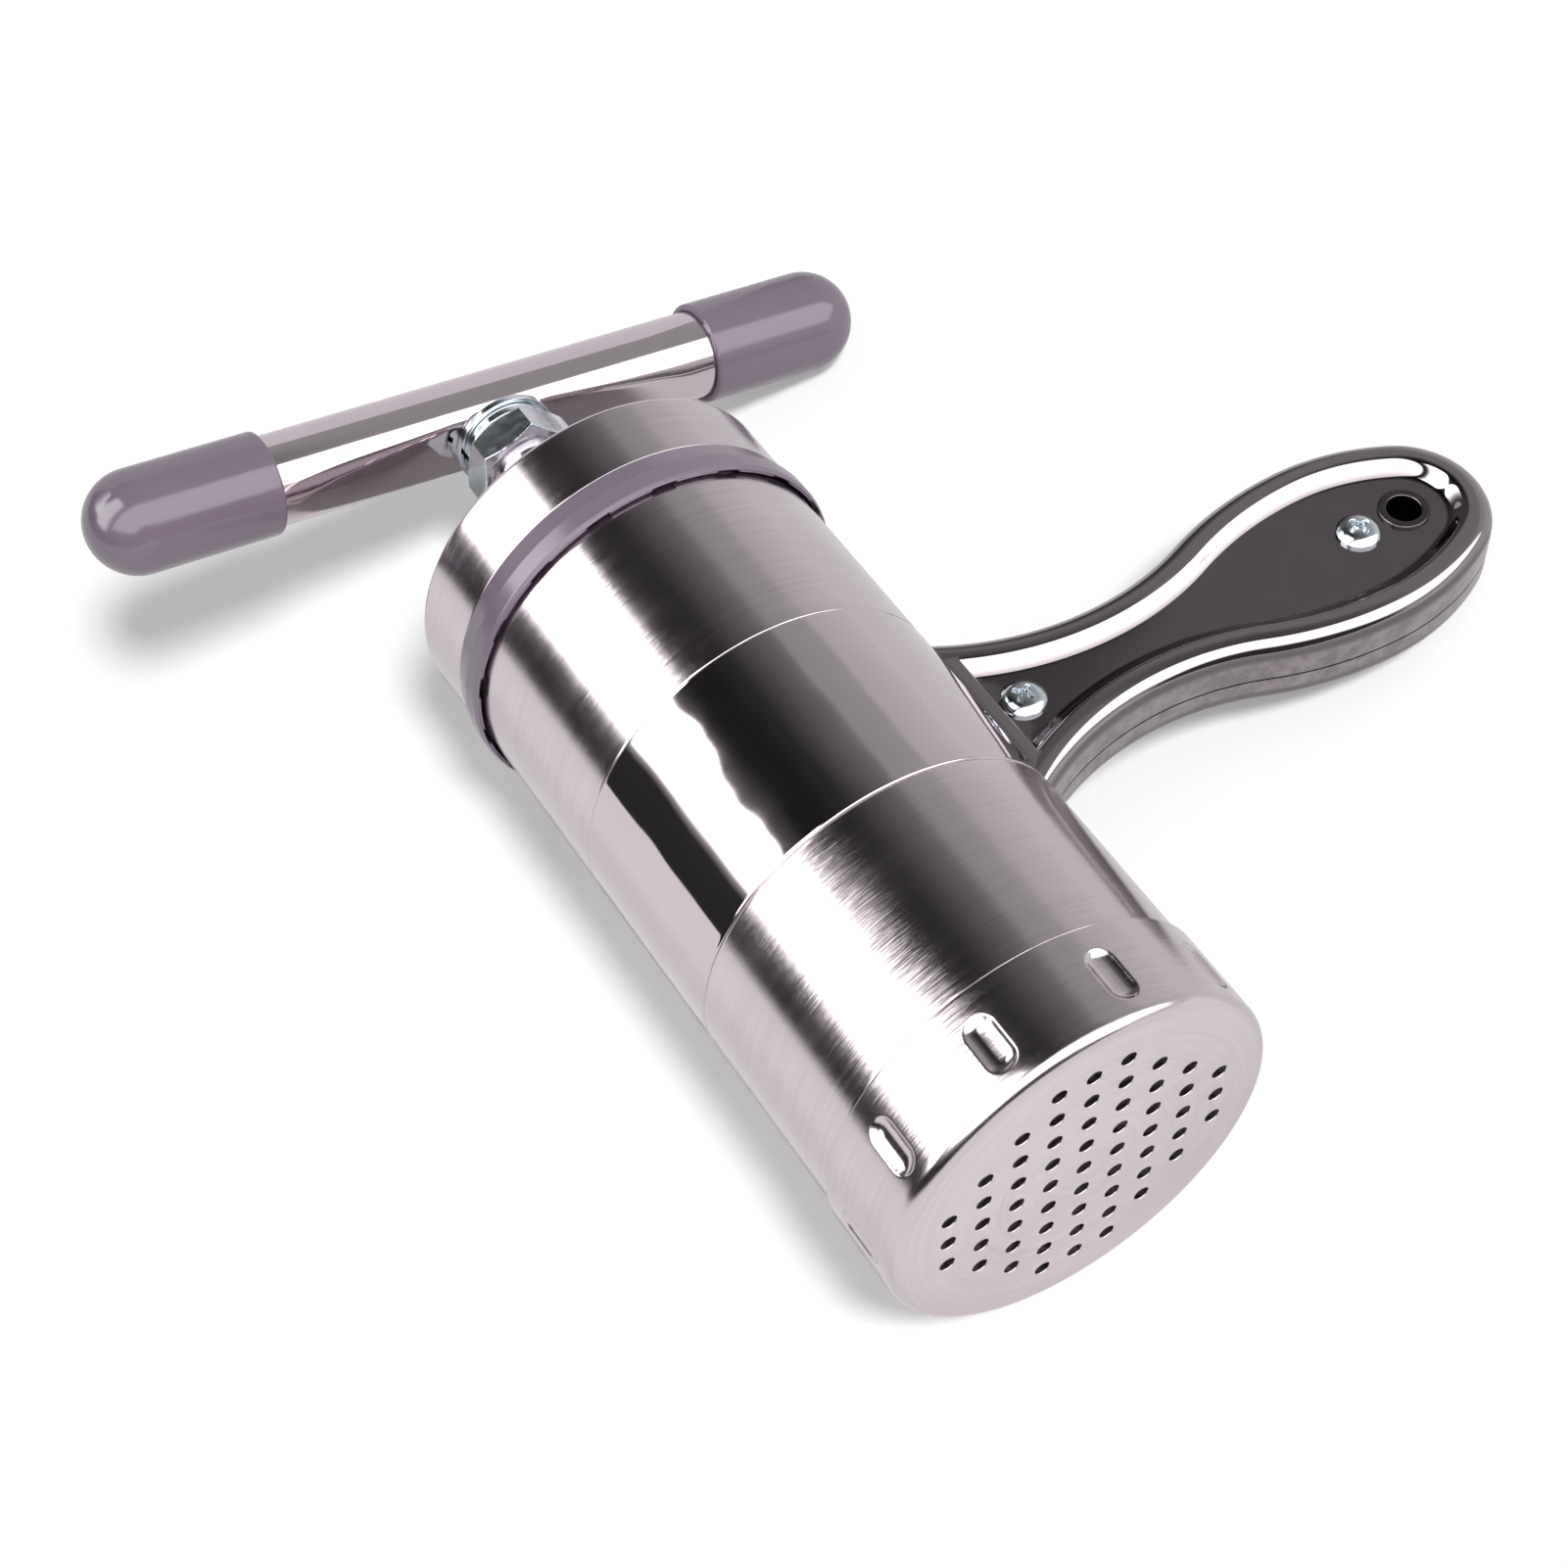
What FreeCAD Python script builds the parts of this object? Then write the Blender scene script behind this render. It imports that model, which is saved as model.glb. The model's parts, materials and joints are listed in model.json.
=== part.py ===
import FreeCAD, Part
import math
import os
import Sketcher

# Hand press for pasta, in millimetres. The barrel's axis is Y, from the die face at Y = 0 to the
# T crank. The handle points to +X. Every piece is drawn with the handle level and then rolled about
# the barrel's axis, so that the press lies on its lid collar and on the tip of its handle.

doc = FreeCAD.newDocument("PastaPress")
sheet = doc.addObject("Spreadsheet::Sheet", "Sizes")

SIZES = {
    # barrel
    "bore_radius": 28.0,
    "tube_wall": 0.8,
    "sleeve_wall": 1.15,
    "weld_gap": 0.05,
    "barrel_top": 126.0,
    "lower_joint": 49.0,
    "upper_joint": 81.4,
    "joint_round": 0.45,
    "upper_round": 0.2,
    "thread_height": 0.5,
    "thread_pitch": 3.5,
    "thread_turns": 3.0,
    "seat_gap": 0.3,
    # die cap
    "thread_gap": 0.35,
    "cap_wall": 1.0,
    "cap_base": 1.0,
    "cap_height": 16.2,
    "cap_round": 2.2,
    "hole_radius": 1.2,
    "hole_pitch": 5.45,
    "hole_rows": 9.0,
    "hole_reach": 22.8,
    "dimple_length": 9.0,
    "dimple_width": 4.6,
    "dimple_depth": 0.6,
    "dimple_centre": 8.0,
    "dimple_count": 10.0,
    "dimple_start": 3.3,
    # lid
    "liner_wall": 0.6,
    "lid_wall": 0.7,
    "lid_bottom": 119.4,
    "lid_top": 131.6,
    "lid_round": 1.2,
    "collar_bottom": 112.7,
    "collar_wall": 0.95,
    "collar_edge": 0.35,
    "collar_crown": 2.6,
    "collar_cone": 1.1,
    "collar_gap": 0.35,
    "liner_bottom": 118.3,
    "liner_height": 8.0,
    "notch_count": 17.0,
    "notch_start": 0.2,
    "notch_width": 4.1,
    "notch_height": 1.2,
    "notch_depth": 0.5,
    # screw bush in the lid
    "bush_flange_radius": 13.0,
    "bush_flange_height": 2.0,
    "bush_boss_radius": 9.5,
    "bush_boss_height": 10.0,
    "bush_neck_radius": 8.0,
    "bush_round": 0.8,
    "bush_washer_radius": 14.0,
    "bush_washer_height": 1.0,
    "locknut_width": 22.0,
    "locknut_height": 4.0,
    "bush_tail": 0.5,
    # lifting screw
    "rod_radius": 6.0,
    "running_gap": 0.08,
    "neck_radius": 4.0,
    "stud_radius": 5.0,
    "rivet_radius": 3.5,
    "rivet_sink": 0.3,
    # ram
    "ram_gap": 0.3,
    "ram_face": 12.0,
    "ram_height": 12.0,
    "ram_floor": 4.5,
    "ram_skirt": 2.2,
    "ram_boss_radius": 10.0,
    "recess_radius": 8.0,
    "recess_depth": 3.0,
    "seal_height": 3.0,
    "seal_depth": 1.5,
    "seal_centre": 18.5,
    "seal_swell": 0.15,
    "thrust_radius": 9.0,
    "thrust_height": 1.0,
    "retainer_radius": 6.8,
    "retainer_height": 1.2,
    "ram_screw_radius": 2.4,
    "ram_screw_head": 4.4,
    "ram_screw_head_height": 1.2,
    "ram_screw_length": 12.0,
    # crank
    "crank_axis": 167.3,
    "crank_turn": 9.2,
    "crank_radius": 7.3,
    "crank_wall": 1.0,
    "crank_end": 62.0,
    "flat_depth": 2.0,
    "flat_middle": 9.0,
    "flat_end": 37.0,
    "grip_radius": 8.4,
    "grip_nose": 7.2,
    "grip_overlap": 22.7,
    "grip_round": 0.5,
    "nut_width": 16.0,
    "nut_height": 6.0,
    "split_washer_radius": 7.7,
    "split_washer_height": 2.0,
    "split_gap": 1.2,
    "flat_washer_radius": 8.4,
    "flat_washer_height": 1.2,
    # handle
    "handle_axis": 67.9,
    "handle_tip": 121.3,
    "waist_place": 55.0,
    "waist_width": 9.3,
    "belly_place": 95.0,
    "belly_width": 17.0,
    "belly_radius": 60.0,
    "shoulder_radius": 40.0,
    "root_start": 20.0,
    "rim_height": 7.5,
    "panel_height": 5.5,
    "back_depth": 6.0,
    "shell_wall": 0.8,
    "seam": 0.3,
    "rim_round": 3.0,
    "rim_width": 4.6,
    "crest_round": 1.1,
    "panel_round": 0.8,
    "root_lip": 32.0,
    "saddle_wall": 1.0,
    "saddle_width": 26.0,
    "saddle_depth": 8.0,
    "tang_wall": 2.0,
    "tang_width": 12.0,
    "tang_end": 103.3,
    "screw_margin": 1.0,
    "outer_screw": 98.8,
    "post_radius": 2.6,
    "screw_radius": 1.5,
    "screw_gap": 0.1,
    "screw_length": 8.0,
    "head_radius": 3.5,
    "head_height": 1.6,
    "head_round": 1.0,
    "cross_length": 3.6,
    "cross_width": 0.8,
    "cross_depth": 0.9,
    "eyelet_place": 107.6,
    "eyelet_bore": 2.7,
    "eyelet_wall": 0.45,
    "eyelet_flange": 0.9,
    "eyelet_lip": 0.6,
}

for row, (alias, number) in enumerate(SIZES.items(), start=1):
    sheet.set(f"A{row}", alias)
    sheet.set(f"B{row}", str(number))
    sheet.setAlias(f"B{row}", alias)
doc.recompute()


class Size:
    """A length known both as a number and as the sheet expression that gives it."""

    def __init__(self, value, text):
        self.value = float(value)
        self.text = text

    def __add__(self, other):
        other = as_size(other)
        return Size(self.value + other.value, f"({self.text} + {other.text})")

    def __sub__(self, other):
        other = as_size(other)
        return Size(self.value - other.value, f"({self.text} - {other.text})")

    def __mul__(self, other):
        other = as_size(other)
        return Size(self.value * other.value, f"({self.text} * {other.text})")

    def __truediv__(self, other):
        other = as_size(other)
        return Size(self.value / other.value, f"({self.text} / {other.text})")

    def __radd__(self, other):
        return as_size(other) + self

    def __rsub__(self, other):
        return as_size(other) - self

    def __rmul__(self, other):
        return as_size(other) * self

    def __neg__(self):
        return as_size(0) - self


def as_size(number):
    """A plain number as a Size."""
    if isinstance(number, Size):
        return number
    return Size(number, f"({float(number)!r})")


def root(size):
    """The square root of a Size."""
    return Size(math.sqrt(size.value), f"sqrt({size.text})")


def get(alias):
    """The Size held by one cell of the sheet."""
    return Size(float(sheet.get(alias)), f"{sheet.Name}.{alias}")


def pick(*aliases):
    """Several Sizes by their names."""
    return [get(alias) for alias in aliases]


HALF = 0.5
FULL_TURN = 360.0
HEXAGON_SIDES = 6
ZERO = as_size(0)
NEAR = 1e-3
CREATED = []

bore_radius, tube_wall, sleeve_wall, weld_gap = pick("bore_radius", "tube_wall", "sleeve_wall", "weld_gap")
seat_gap = get("seat_gap")
tube_radius = bore_radius + tube_wall
sleeve_inside = tube_radius + weld_gap
barrel_radius = sleeve_inside + sleeve_wall
collar_inside = barrel_radius + get("collar_gap")
collar_radius = collar_inside + get("collar_wall")
lid_bottom, lid_top, lid_wall = pick("lid_bottom", "lid_top", "lid_wall")

# The roll that brings the lowest point of the handle's rounded tip to the height of the collar.
tip_centre = get("handle_tip") - get("rim_round")
tip_drop = get("back_depth") - get("rim_round")
tip_reach = root(tip_centre * tip_centre + tip_drop * tip_drop)
roll_sine = (collar_radius - get("rim_round")) / tip_reach
ROLL = Size(
    math.degrees(math.asin(roll_sine.value) - math.atan(tip_drop.value / tip_centre.value)),
    f"(asin({roll_sine.text}) - atan({tip_drop.text} / {tip_centre.text}))",
)
CRANK_ROLL = Size(ROLL.value + get("crank_turn").value, f"({ROLL.text} + {get('crank_turn').text} * 1 deg)")


def place(piece, label, turn=ROLL):
    """Names a finished piece and rolls it about the barrel's axis."""
    piece.Label = label
    piece.Placement = FreeCAD.Placement(
        FreeCAD.Vector(0, 0, 0), FreeCAD.Rotation(FreeCAD.Vector(0, 1, 0), turn.value)
    )
    piece.setExpression("Placement.Rotation.Angle", turn.text)
    CREATED.append(piece)
    return piece


def new_body(name):
    """An empty body."""
    return doc.addObject("PartDesign::Body", name)


def new_sketch(body, role, name, offset=None, turn=None):
    """A sketch on one of the body's own planes, lifted off it by an offset or turned about its Y."""
    plane = [feature for feature in body.Origin.OriginFeatures if feature.Role == role][0]
    sketch = body.newObject("Sketcher::SketchObject", name)
    sketch.AttachmentSupport = [(plane, "")]
    sketch.MapMode = "FlatFace"
    if offset is not None:
        sketch.AttachmentOffset = FreeCAD.Placement(
            FreeCAD.Vector(0, 0, offset.value), FreeCAD.Rotation()
        )
        sketch.setExpression("AttachmentOffset.Base.z", offset.text)
    if turn is not None:
        sketch.AttachmentOffset = FreeCAD.Placement(
            FreeCAD.Vector(0, 0, 0), FreeCAD.Rotation(FreeCAD.Vector(0, 1, 0), turn.value)
        )
        sketch.setExpression("AttachmentOffset.Rotation.Angle", turn.text)
    return sketch


def fix(sketch, kind, *arguments):
    """Adds a driven size to a sketch and binds it to the sheet; the last argument is the Size."""
    size = arguments[-1]
    index = sketch.addConstraint(Sketcher.Constraint(kind, *arguments[:-1], size.value))
    sketch.setExpression(f"Constraints[{index}]", size.text)


def fix_point(sketch, geometry, end, x, y):
    """Fixes a point of a sketch at x, y from its origin."""
    fix(sketch, "DistanceX", -1, 1, geometry, end, x)
    fix(sketch, "DistanceY", -1, 1, geometry, end, y)


def polygon(sketch, corners):
    """A closed polygon with every corner bound to the sheet."""
    points = [FreeCAD.Vector(x.value, y.value, 0) for x, y in corners]
    count = len(points)
    lines = [
        sketch.addGeometry(Part.LineSegment(points[i], points[(i + 1) % count]), False)
        for i in range(count)
    ]
    for i in range(count):
        sketch.addConstraint(Sketcher.Constraint("Coincident", lines[i], 2, lines[(i + 1) % count], 1))
    for line, (x, y) in zip(lines, corners):
        fix_point(sketch, line, 1, x, y)


def circle(sketch, x, y, radius):
    """A circle bound to the sheet."""
    shape = Part.Circle(FreeCAD.Vector(x.value, y.value, 0), FreeCAD.Vector(0, 0, 1), radius.value)
    index = sketch.addGeometry(shape, False)
    fix_point(sketch, index, 3, x, y)
    fix(sketch, "Radius", index, radius)


def arc(sketch, centre, start, end, radius):
    """An arc from start to end, anticlockwise about a centre."""
    angles = [math.atan2((p[1] - centre[1]).value, (p[0] - centre[0]).value) for p in (start, end)]
    shape = Part.Circle(
        FreeCAD.Vector(centre[0].value, centre[1].value, 0), FreeCAD.Vector(0, 0, 1), radius.value
    )
    index = sketch.addGeometry(Part.ArcOfCircle(shape, angles[0], angles[1]), False)
    fix(sketch, "Radius", index, radius)
    return index


def check_change(body, before, grows, name):
    """Stops the build if a feature that should add or take material did not."""
    doc.recompute()
    after = body.Shape.Volume
    if (after > before + NEAR) != grows or abs(after - before) < NEAR:
        raise RuntimeError(f"{name} did not change its piece as it should")


def revolve(body, sketch, name):
    """A full turn of a profile about the barrel's axis."""
    feature = body.newObject("PartDesign::Revolution", name)
    feature.Profile = sketch
    feature.ReferenceAxis = (sketch, ["V_Axis"])
    feature.Angle = FULL_TURN
    sketch.Visibility = False
    doc.recompute()
    return feature


def pad(body, sketch, length, name, flip=False):
    """Material added on one side of a sketch."""
    before = body.Shape.Volume if body.Tip else 0.0
    feature = body.newObject("PartDesign::Pad", name)
    feature.Profile = sketch
    feature.Length = length.value
    feature.setExpression("Length", length.text)
    feature.Reversed = flip
    check_change(body, before, True, name)
    return feature


def pocket(body, sketch, length, name, flip=False):
    """Material taken from one side of a sketch, or from both sides when no length is given."""
    before = body.Shape.Volume
    feature = body.newObject("PartDesign::Pocket", name)
    feature.Profile = sketch
    if length is None:
        feature.Type = "ThroughAll"
        feature.Midplane = True
    else:
        feature.Length = length.value
        feature.setExpression("Length", length.text)
        feature.Reversed = flip
    check_change(body, before, False, name)
    return feature


def polar(body, feature, count, name):
    """Copies of a feature, evenly spaced round the barrel's axis."""
    before = body.Shape.Volume
    axis = [item for item in body.Origin.OriginFeatures if item.Role == "Y_Axis"][0]
    pattern = body.newObject("PartDesign::PolarPattern", name)
    pattern.Originals = [feature]
    pattern.Axis = (axis, [""])
    pattern.Angle = FULL_TURN
    pattern.Occurrences = int(round(count.value))
    pattern.setExpression("Occurrences", count.text)
    body.Tip = pattern
    check_change(body, before, False, name)
    return pattern


def ring_edges(shape, radius, height):
    """Names of the full circles of one radius at one height on the barrel's axis."""
    names = []
    for index, edge in enumerate(shape.Edges, start=1):
        if not isinstance(edge.Curve, Part.Circle):
            continue
        same_radius = abs(edge.Curve.Radius - radius.value) < NEAR
        if same_radius and abs(edge.Curve.Center.y - height.value) < NEAR:
            names.append(f"Edge{index}")
    return names


def level_edges(shape, height, chosen):
    """Names of the edges that lie at one height Z and pass a test."""
    names = []
    for index, edge in enumerate(shape.Edges, start=1):
        box = edge.BoundBox
        if max(abs(box.ZMin - height.value), abs(box.ZMax - height.value)) > NEAR:
            continue
        if chosen(edge):
            names.append(f"Edge{index}")
    return names


def round_off(body, radius, names, name):
    """Rounds named edges of the body's last feature."""
    if not names:
        raise RuntimeError(f"{name} found no edge")
    base = body.Tip
    feature = body.newObject("PartDesign::Fillet", name)
    feature.Base = (base, names)
    feature.Radius = radius.value
    feature.setExpression("Radius", radius.text)
    doc.recompute()
    return feature


def turned(name, corners, rounds=()):
    """A turned piece: a profile of (radius, height) corners, with rounded corners where asked."""
    body = new_body(name)
    sketch = new_sketch(body, "XY_Plane", f"{name}Profile")
    polygon(sketch, corners)
    revolve(body, sketch, f"{name}Turn")
    for number, (radius, height, size) in enumerate(rounds):
        edges = ring_edges(body.Shape, radius, height)
        round_off(body, size, edges, f"{name}Round{number}")
    return body


def tube_profile(inside, outside, bottom, top):
    """The four corners of a plain ring."""
    return [(inside, bottom), (outside, bottom), (outside, top), (inside, top)]


def hexagon(sketch, width):
    """A regular hexagon on the axis, as wide across its flats as given, with flats facing Y."""
    reach = width / root(as_size(3))
    corners = []
    for step in range(HEXAGON_SIDES):
        turn = math.radians(FULL_TURN / HEXAGON_SIDES * step)
        corners.append((reach * math.cos(turn), reach * math.sin(turn)))
    polygon(sketch, corners)


# Barrel: an inner pressing tube with a rolled thread at its lower end, and three flush sleeves.
cap_base, cap_height = pick("cap_base", "cap_height")
barrel_bottom = cap_base + seat_gap
barrel_top, lower_joint, upper_joint = pick("barrel_top", "lower_joint", "upper_joint")
sleeve_bottom = cap_height + seat_gap
sleeve_top = get("liner_bottom") - seat_gap


def barrel_tube():
    """The bore that the dough is pressed through; the thread is three rounded ridges."""
    pitch, height = pick("thread_pitch", "thread_height")
    corners = [(bore_radius, barrel_bottom), (tube_radius, barrel_bottom)]
    for turn in range(int(round(get("thread_turns").value))):
        foot = barrel_bottom + pitch * (turn + HALF)
        corners.append((tube_radius, foot))
        corners.append((tube_radius + height, foot + height))
        corners.append((tube_radius + height, foot + 2 * height))
        corners.append((tube_radius, foot + 3 * height))
    corners.append((tube_radius, barrel_top))
    corners.append((bore_radius, barrel_top))
    place(turned("BarrelTube", corners), "barrel_tube")


def sleeves():
    """The lower sleeve, the polished band and the upper sleeve, end to end on the tube."""
    small, large = pick("upper_round", "joint_round")
    spans = [
        ("LowerSleeve", "lower_sleeve", sleeve_bottom, lower_joint, small, large),
        ("HandleBand", "handle_band", lower_joint, upper_joint, large, small),
        ("UpperSleeve", "upper_sleeve", upper_joint, sleeve_top, small, small),
    ]
    for name, label, bottom, top, low_round, high_round in spans:
        corners = tube_profile(sleeve_inside, barrel_radius, bottom, top)
        rounds = [(barrel_radius, bottom, low_round), (barrel_radius, top, high_round)]
        place(turned(name, corners, rounds), label)


# Die cap: a cup with a square grid of holes and a ring of grip dimples.
cap_wall = get("cap_wall")
cap_radius = tube_radius + get("thread_height") + get("thread_gap") + cap_wall


def die_cap():
    """The screw-on cap at the barrel's lower end."""
    cap_round = get("cap_round")
    inside = cap_radius - cap_wall
    corners = [
        (ZERO, ZERO), (cap_radius, ZERO), (cap_radius, cap_height),
        (inside, cap_height), (inside, cap_base), (ZERO, cap_base),
    ]
    rounds = [(cap_radius, ZERO, cap_round), (inside, cap_base, cap_round - cap_wall)]
    body = turned("DieCap", corners, rounds)
    cap_dimples(body)
    cap_holes(body)
    place(body, "die_cap")


def cap_dimples(body):
    """Stadium-shaped dents: a capsule that dips into the skirt, repeated round it."""
    length, width, depth = pick("dimple_length", "dimple_width", "dimple_depth")
    half_width = width * HALF
    sagitta = depth - half_width * half_width / (2 * cap_radius)
    capsule = (half_width * half_width + sagitta * sagitta) / (2 * sagitta)
    axis = cap_radius - depth + capsule
    low = get("dimple_centre") - (length - width) * HALF
    high = get("dimple_centre") + (length - width) * HALF
    sketch = new_sketch(body, "XY_Plane", "DimpleProfile", turn=-get("dimple_start") * as_deg)
    near = axis - capsule
    side = sketch.addGeometry(line_between((near, high), (near, low)), False)
    low_end = arc(sketch, (axis, low), (near, low), (axis, low - capsule), capsule)
    spine = sketch.addGeometry(line_between((axis, low - capsule), (axis, high + capsule)), False)
    high_end = arc(sketch, (axis, high), (axis, high + capsule), (near, high), capsule)
    chain = [side, low_end, spine, high_end]
    for first, second in zip(chain, chain[1:] + chain[:1]):
        sketch.addConstraint(Sketcher.Constraint("Coincident", first, 2, second, 1))
    fix_point(sketch, side, 1, near, high)
    fix_point(sketch, side, 2, near, low)
    fix_point(sketch, spine, 1, axis, low - capsule)
    fix_point(sketch, spine, 2, axis, high + capsule)
    turning = sketch.addGeometry(line_between((axis, low), (axis, high)), True)
    fix_point(sketch, turning, 1, axis, low)
    fix_point(sketch, turning, 2, axis, high)
    before = body.Shape.Volume
    groove = body.newObject("PartDesign::Groove", "Dimple")
    groove.Profile = sketch
    groove.ReferenceAxis = (sketch, ["Axis0"])
    groove.Angle = FULL_TURN
    check_change(body, before, False, "Dimple")
    polar(body, groove, get("dimple_count"), "Dimples")


def cap_holes(body):
    """A square grid of round holes, clipped to a circle."""
    pitch, rows, reach, radius = pick("hole_pitch", "hole_rows", "hole_reach", "hole_radius")
    half_rows = int(round(rows.value)) // 2
    sketch = new_sketch(body, "XZ_Plane", "HoleGrid")
    for column in range(-half_rows, half_rows + 1):
        for line in range(-half_rows, half_rows + 1):
            if math.hypot(column, line) * pitch.value < reach.value:
                circle(sketch, pitch * column, pitch * line, radius)
    pocket(body, sketch, None, "Holes")


def line_between(start, end):
    """A straight edge between two points given as Sizes."""
    return Part.LineSegment(
        FreeCAD.Vector(start[0].value, start[1].value, 0), FreeCAD.Vector(end[0].value, end[1].value, 0)
    )


as_deg = Size(1.0, "1 deg")

# Lid: a brushed cup over a plastic collar, with a screw bush clamped through its top.
collar_top = lid_bottom
liner_inside = tube_radius + seat_gap
liner_outside = liner_inside + get("liner_wall")
lid_radius = liner_outside + weld_gap + lid_wall
bush_neck = get("bush_neck_radius")
neck_hole = bush_neck + weld_gap


def lid_shell():
    """The steel cup at the crank end."""
    lid_round = get("lid_round")
    inside = lid_radius - lid_wall
    under = lid_top - lid_wall
    corners = [
        (neck_hole, lid_top), (lid_radius, lid_top), (lid_radius, lid_bottom),
        (inside, lid_bottom), (inside, under), (neck_hole, under),
    ]
    rounds = [(lid_radius, lid_top, lid_round), (inside, under, lid_round - lid_wall)]
    place(turned("LidShell", corners, rounds), "lid_shell")


def lid_collar():
    """The mauve ring under the cup, with its threaded liner inside the cup and notches below."""
    bottom, crown, cone, edge = pick("collar_bottom", "collar_crown", "collar_cone", "collar_edge")
    liner_bottom, liner_height = pick("liner_bottom", "liner_height")
    liner_top = liner_bottom + liner_height
    corners = [
        (collar_inside, bottom), (collar_radius - edge, bottom),
        (collar_radius, bottom + 2 * edge), (collar_radius, bottom + 2 * edge + crown),
        (lid_radius, collar_top), (liner_outside, collar_top), (liner_outside, liner_top),
        (liner_inside, liner_top), (liner_inside, liner_bottom), (collar_inside, liner_bottom),
    ]
    rounds = [
        (collar_radius - edge, bottom, edge),
        (collar_radius, bottom + 2 * edge, cone),
        (collar_radius, bottom + 2 * edge + crown, cone),
    ]
    body = turned("LidCollar", corners, rounds)
    depth, width, height = pick("notch_depth", "notch_width", "notch_height")
    sketch = new_sketch(body, "XY_Plane", "NotchProfile", turn=-get("notch_start") * as_deg)
    inside = collar_inside - depth
    corners = tube_profile(inside, collar_inside + depth, bottom - height, bottom + height)
    polygon(sketch, corners)
    before = body.Shape.Volume
    notch = body.newObject("PartDesign::Groove", "Notch")
    notch.Profile = sketch
    notch.ReferenceAxis = (sketch, ["V_Axis"])
    notch.Midplane = True
    sweep = width / collar_inside * math.degrees(1.0)
    notch.Angle = sweep.value
    notch.setExpression("Angle", sweep.text)
    check_change(body, before, False, "Notch")
    polar(body, notch, get("notch_count"), "Notches")
    place(body, "lid_collar")


rod_radius, running_gap = pick("rod_radius", "running_gap")
rod_hole = rod_radius + running_gap
washer_bottom = lid_top - lid_wall - get("bush_washer_height")
locknut_bottom = washer_bottom - get("locknut_height")


def screw_bush():
    """The nut of the lifting screw: a flanged boss whose neck passes through the lid."""
    flange, flange_height, boss, boss_height = pick(
        "bush_flange_radius", "bush_flange_height", "bush_boss_radius", "bush_boss_height"
    )
    bush_round = get("bush_round")
    bottom = locknut_bottom - get("bush_tail")
    flange_top = lid_top + flange_height
    boss_top = lid_top + boss_height
    corners = [
        (rod_hole, bottom), (bush_neck, bottom), (bush_neck, lid_top), (flange, lid_top),
        (flange, flange_top), (boss, flange_top), (boss, boss_top), (rod_hole, boss_top),
    ]
    rounds = [(flange, flange_top, bush_round), (boss, boss_top, bush_round)]
    place(turned("ScrewBush", corners, rounds), "screw_bush")


def bush_washer():
    """The washer between the lid and the locknut."""
    corners = tube_profile(neck_hole, get("bush_washer_radius"), washer_bottom, lid_top - lid_wall)
    place(turned("BushWasher", corners), "bush_washer")


def hexagon_nut(name, label, width, bottom, top, hole, turn=ROLL):
    """A hexagon nut on the barrel's axis, its corners turned off as on a real nut."""
    body = new_body(name)
    sketch = new_sketch(body, "XZ_Plane", f"{name}Hexagon", offset=-top)
    hexagon(sketch, width)
    circle(sketch, ZERO, ZERO, hole)
    pad(body, sketch, top - bottom, f"{name}Block")
    corner = width / root(as_size(3))
    bevel = (corner - width * HALF) * HALF
    reach = corner + bevel
    for side, face, inward in (("Low", bottom, bevel), ("High", top, -bevel)):
        cutter = new_sketch(body, "XY_Plane", f"{name}{side}Bevel")
        polygon(cutter, [(width * HALF, face), (reach, face), (reach, face + inward + inward)])
        before = body.Shape.Volume
        groove = body.newObject("PartDesign::Groove", f"{name}{side}Turned")
        groove.Profile = cutter
        groove.ReferenceAxis = (cutter, ["V_Axis"])
        groove.Angle = FULL_TURN
        check_change(body, before, False, f"{name}{side}Turned")
    place(body, label, turn)


# Crank: T tube on its own axis, two grips, and the nut and washers under the tube.
crank_axis, crank_radius, crank_wall = pick("crank_axis", "crank_radius", "crank_wall")
flat_depth = get("flat_depth")
seat = crank_axis - crank_radius + flat_depth
flat_washer_bottom = seat - get("flat_washer_height")
split_washer_bottom = flat_washer_bottom - get("split_washer_height")
nut_bottom = split_washer_bottom - get("nut_height")
stud_radius, rivet_radius, neck_radius = pick("stud_radius", "rivet_radius", "neck_radius")
ram_face, ram_height = pick("ram_face", "ram_height")
ram_top = ram_face + ram_height
thrust_top = ram_top + get("thrust_height")
recess_top = ram_face + get("recess_depth")
retainer_top = recess_top - seat_gap
retainer_bottom = retainer_top - get("retainer_height")
ram_screw = get("ram_screw_radius")


def screw_rod():
    """The lifting screw: lower neck for the ram, threaded length, stud and rivet for the T tube."""
    shoulder = thrust_top + seat_gap
    rivet_bottom = crank_axis + root(
        (crank_radius - crank_wall) * (crank_radius - crank_wall) - stud_radius * stud_radius
    ) - seat_gap
    rivet_top = crank_axis + crank_radius - get("rivet_sink")
    tapped = ram_screw + weld_gap
    tapped_top = retainer_top + get("ram_screw_length")
    corners = [
        (tapped, retainer_top), (neck_radius, retainer_top), (neck_radius, shoulder),
        (rod_radius, shoulder), (rod_radius, nut_bottom), (stud_radius, nut_bottom),
        (stud_radius, rivet_bottom), (rivet_radius, rivet_bottom), (rivet_radius, rivet_top),
        (ZERO, rivet_top), (ZERO, tapped_top), (tapped, tapped_top),
    ]
    place(turned("ScrewRod", corners), "screw_rod", CRANK_ROLL)


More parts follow.
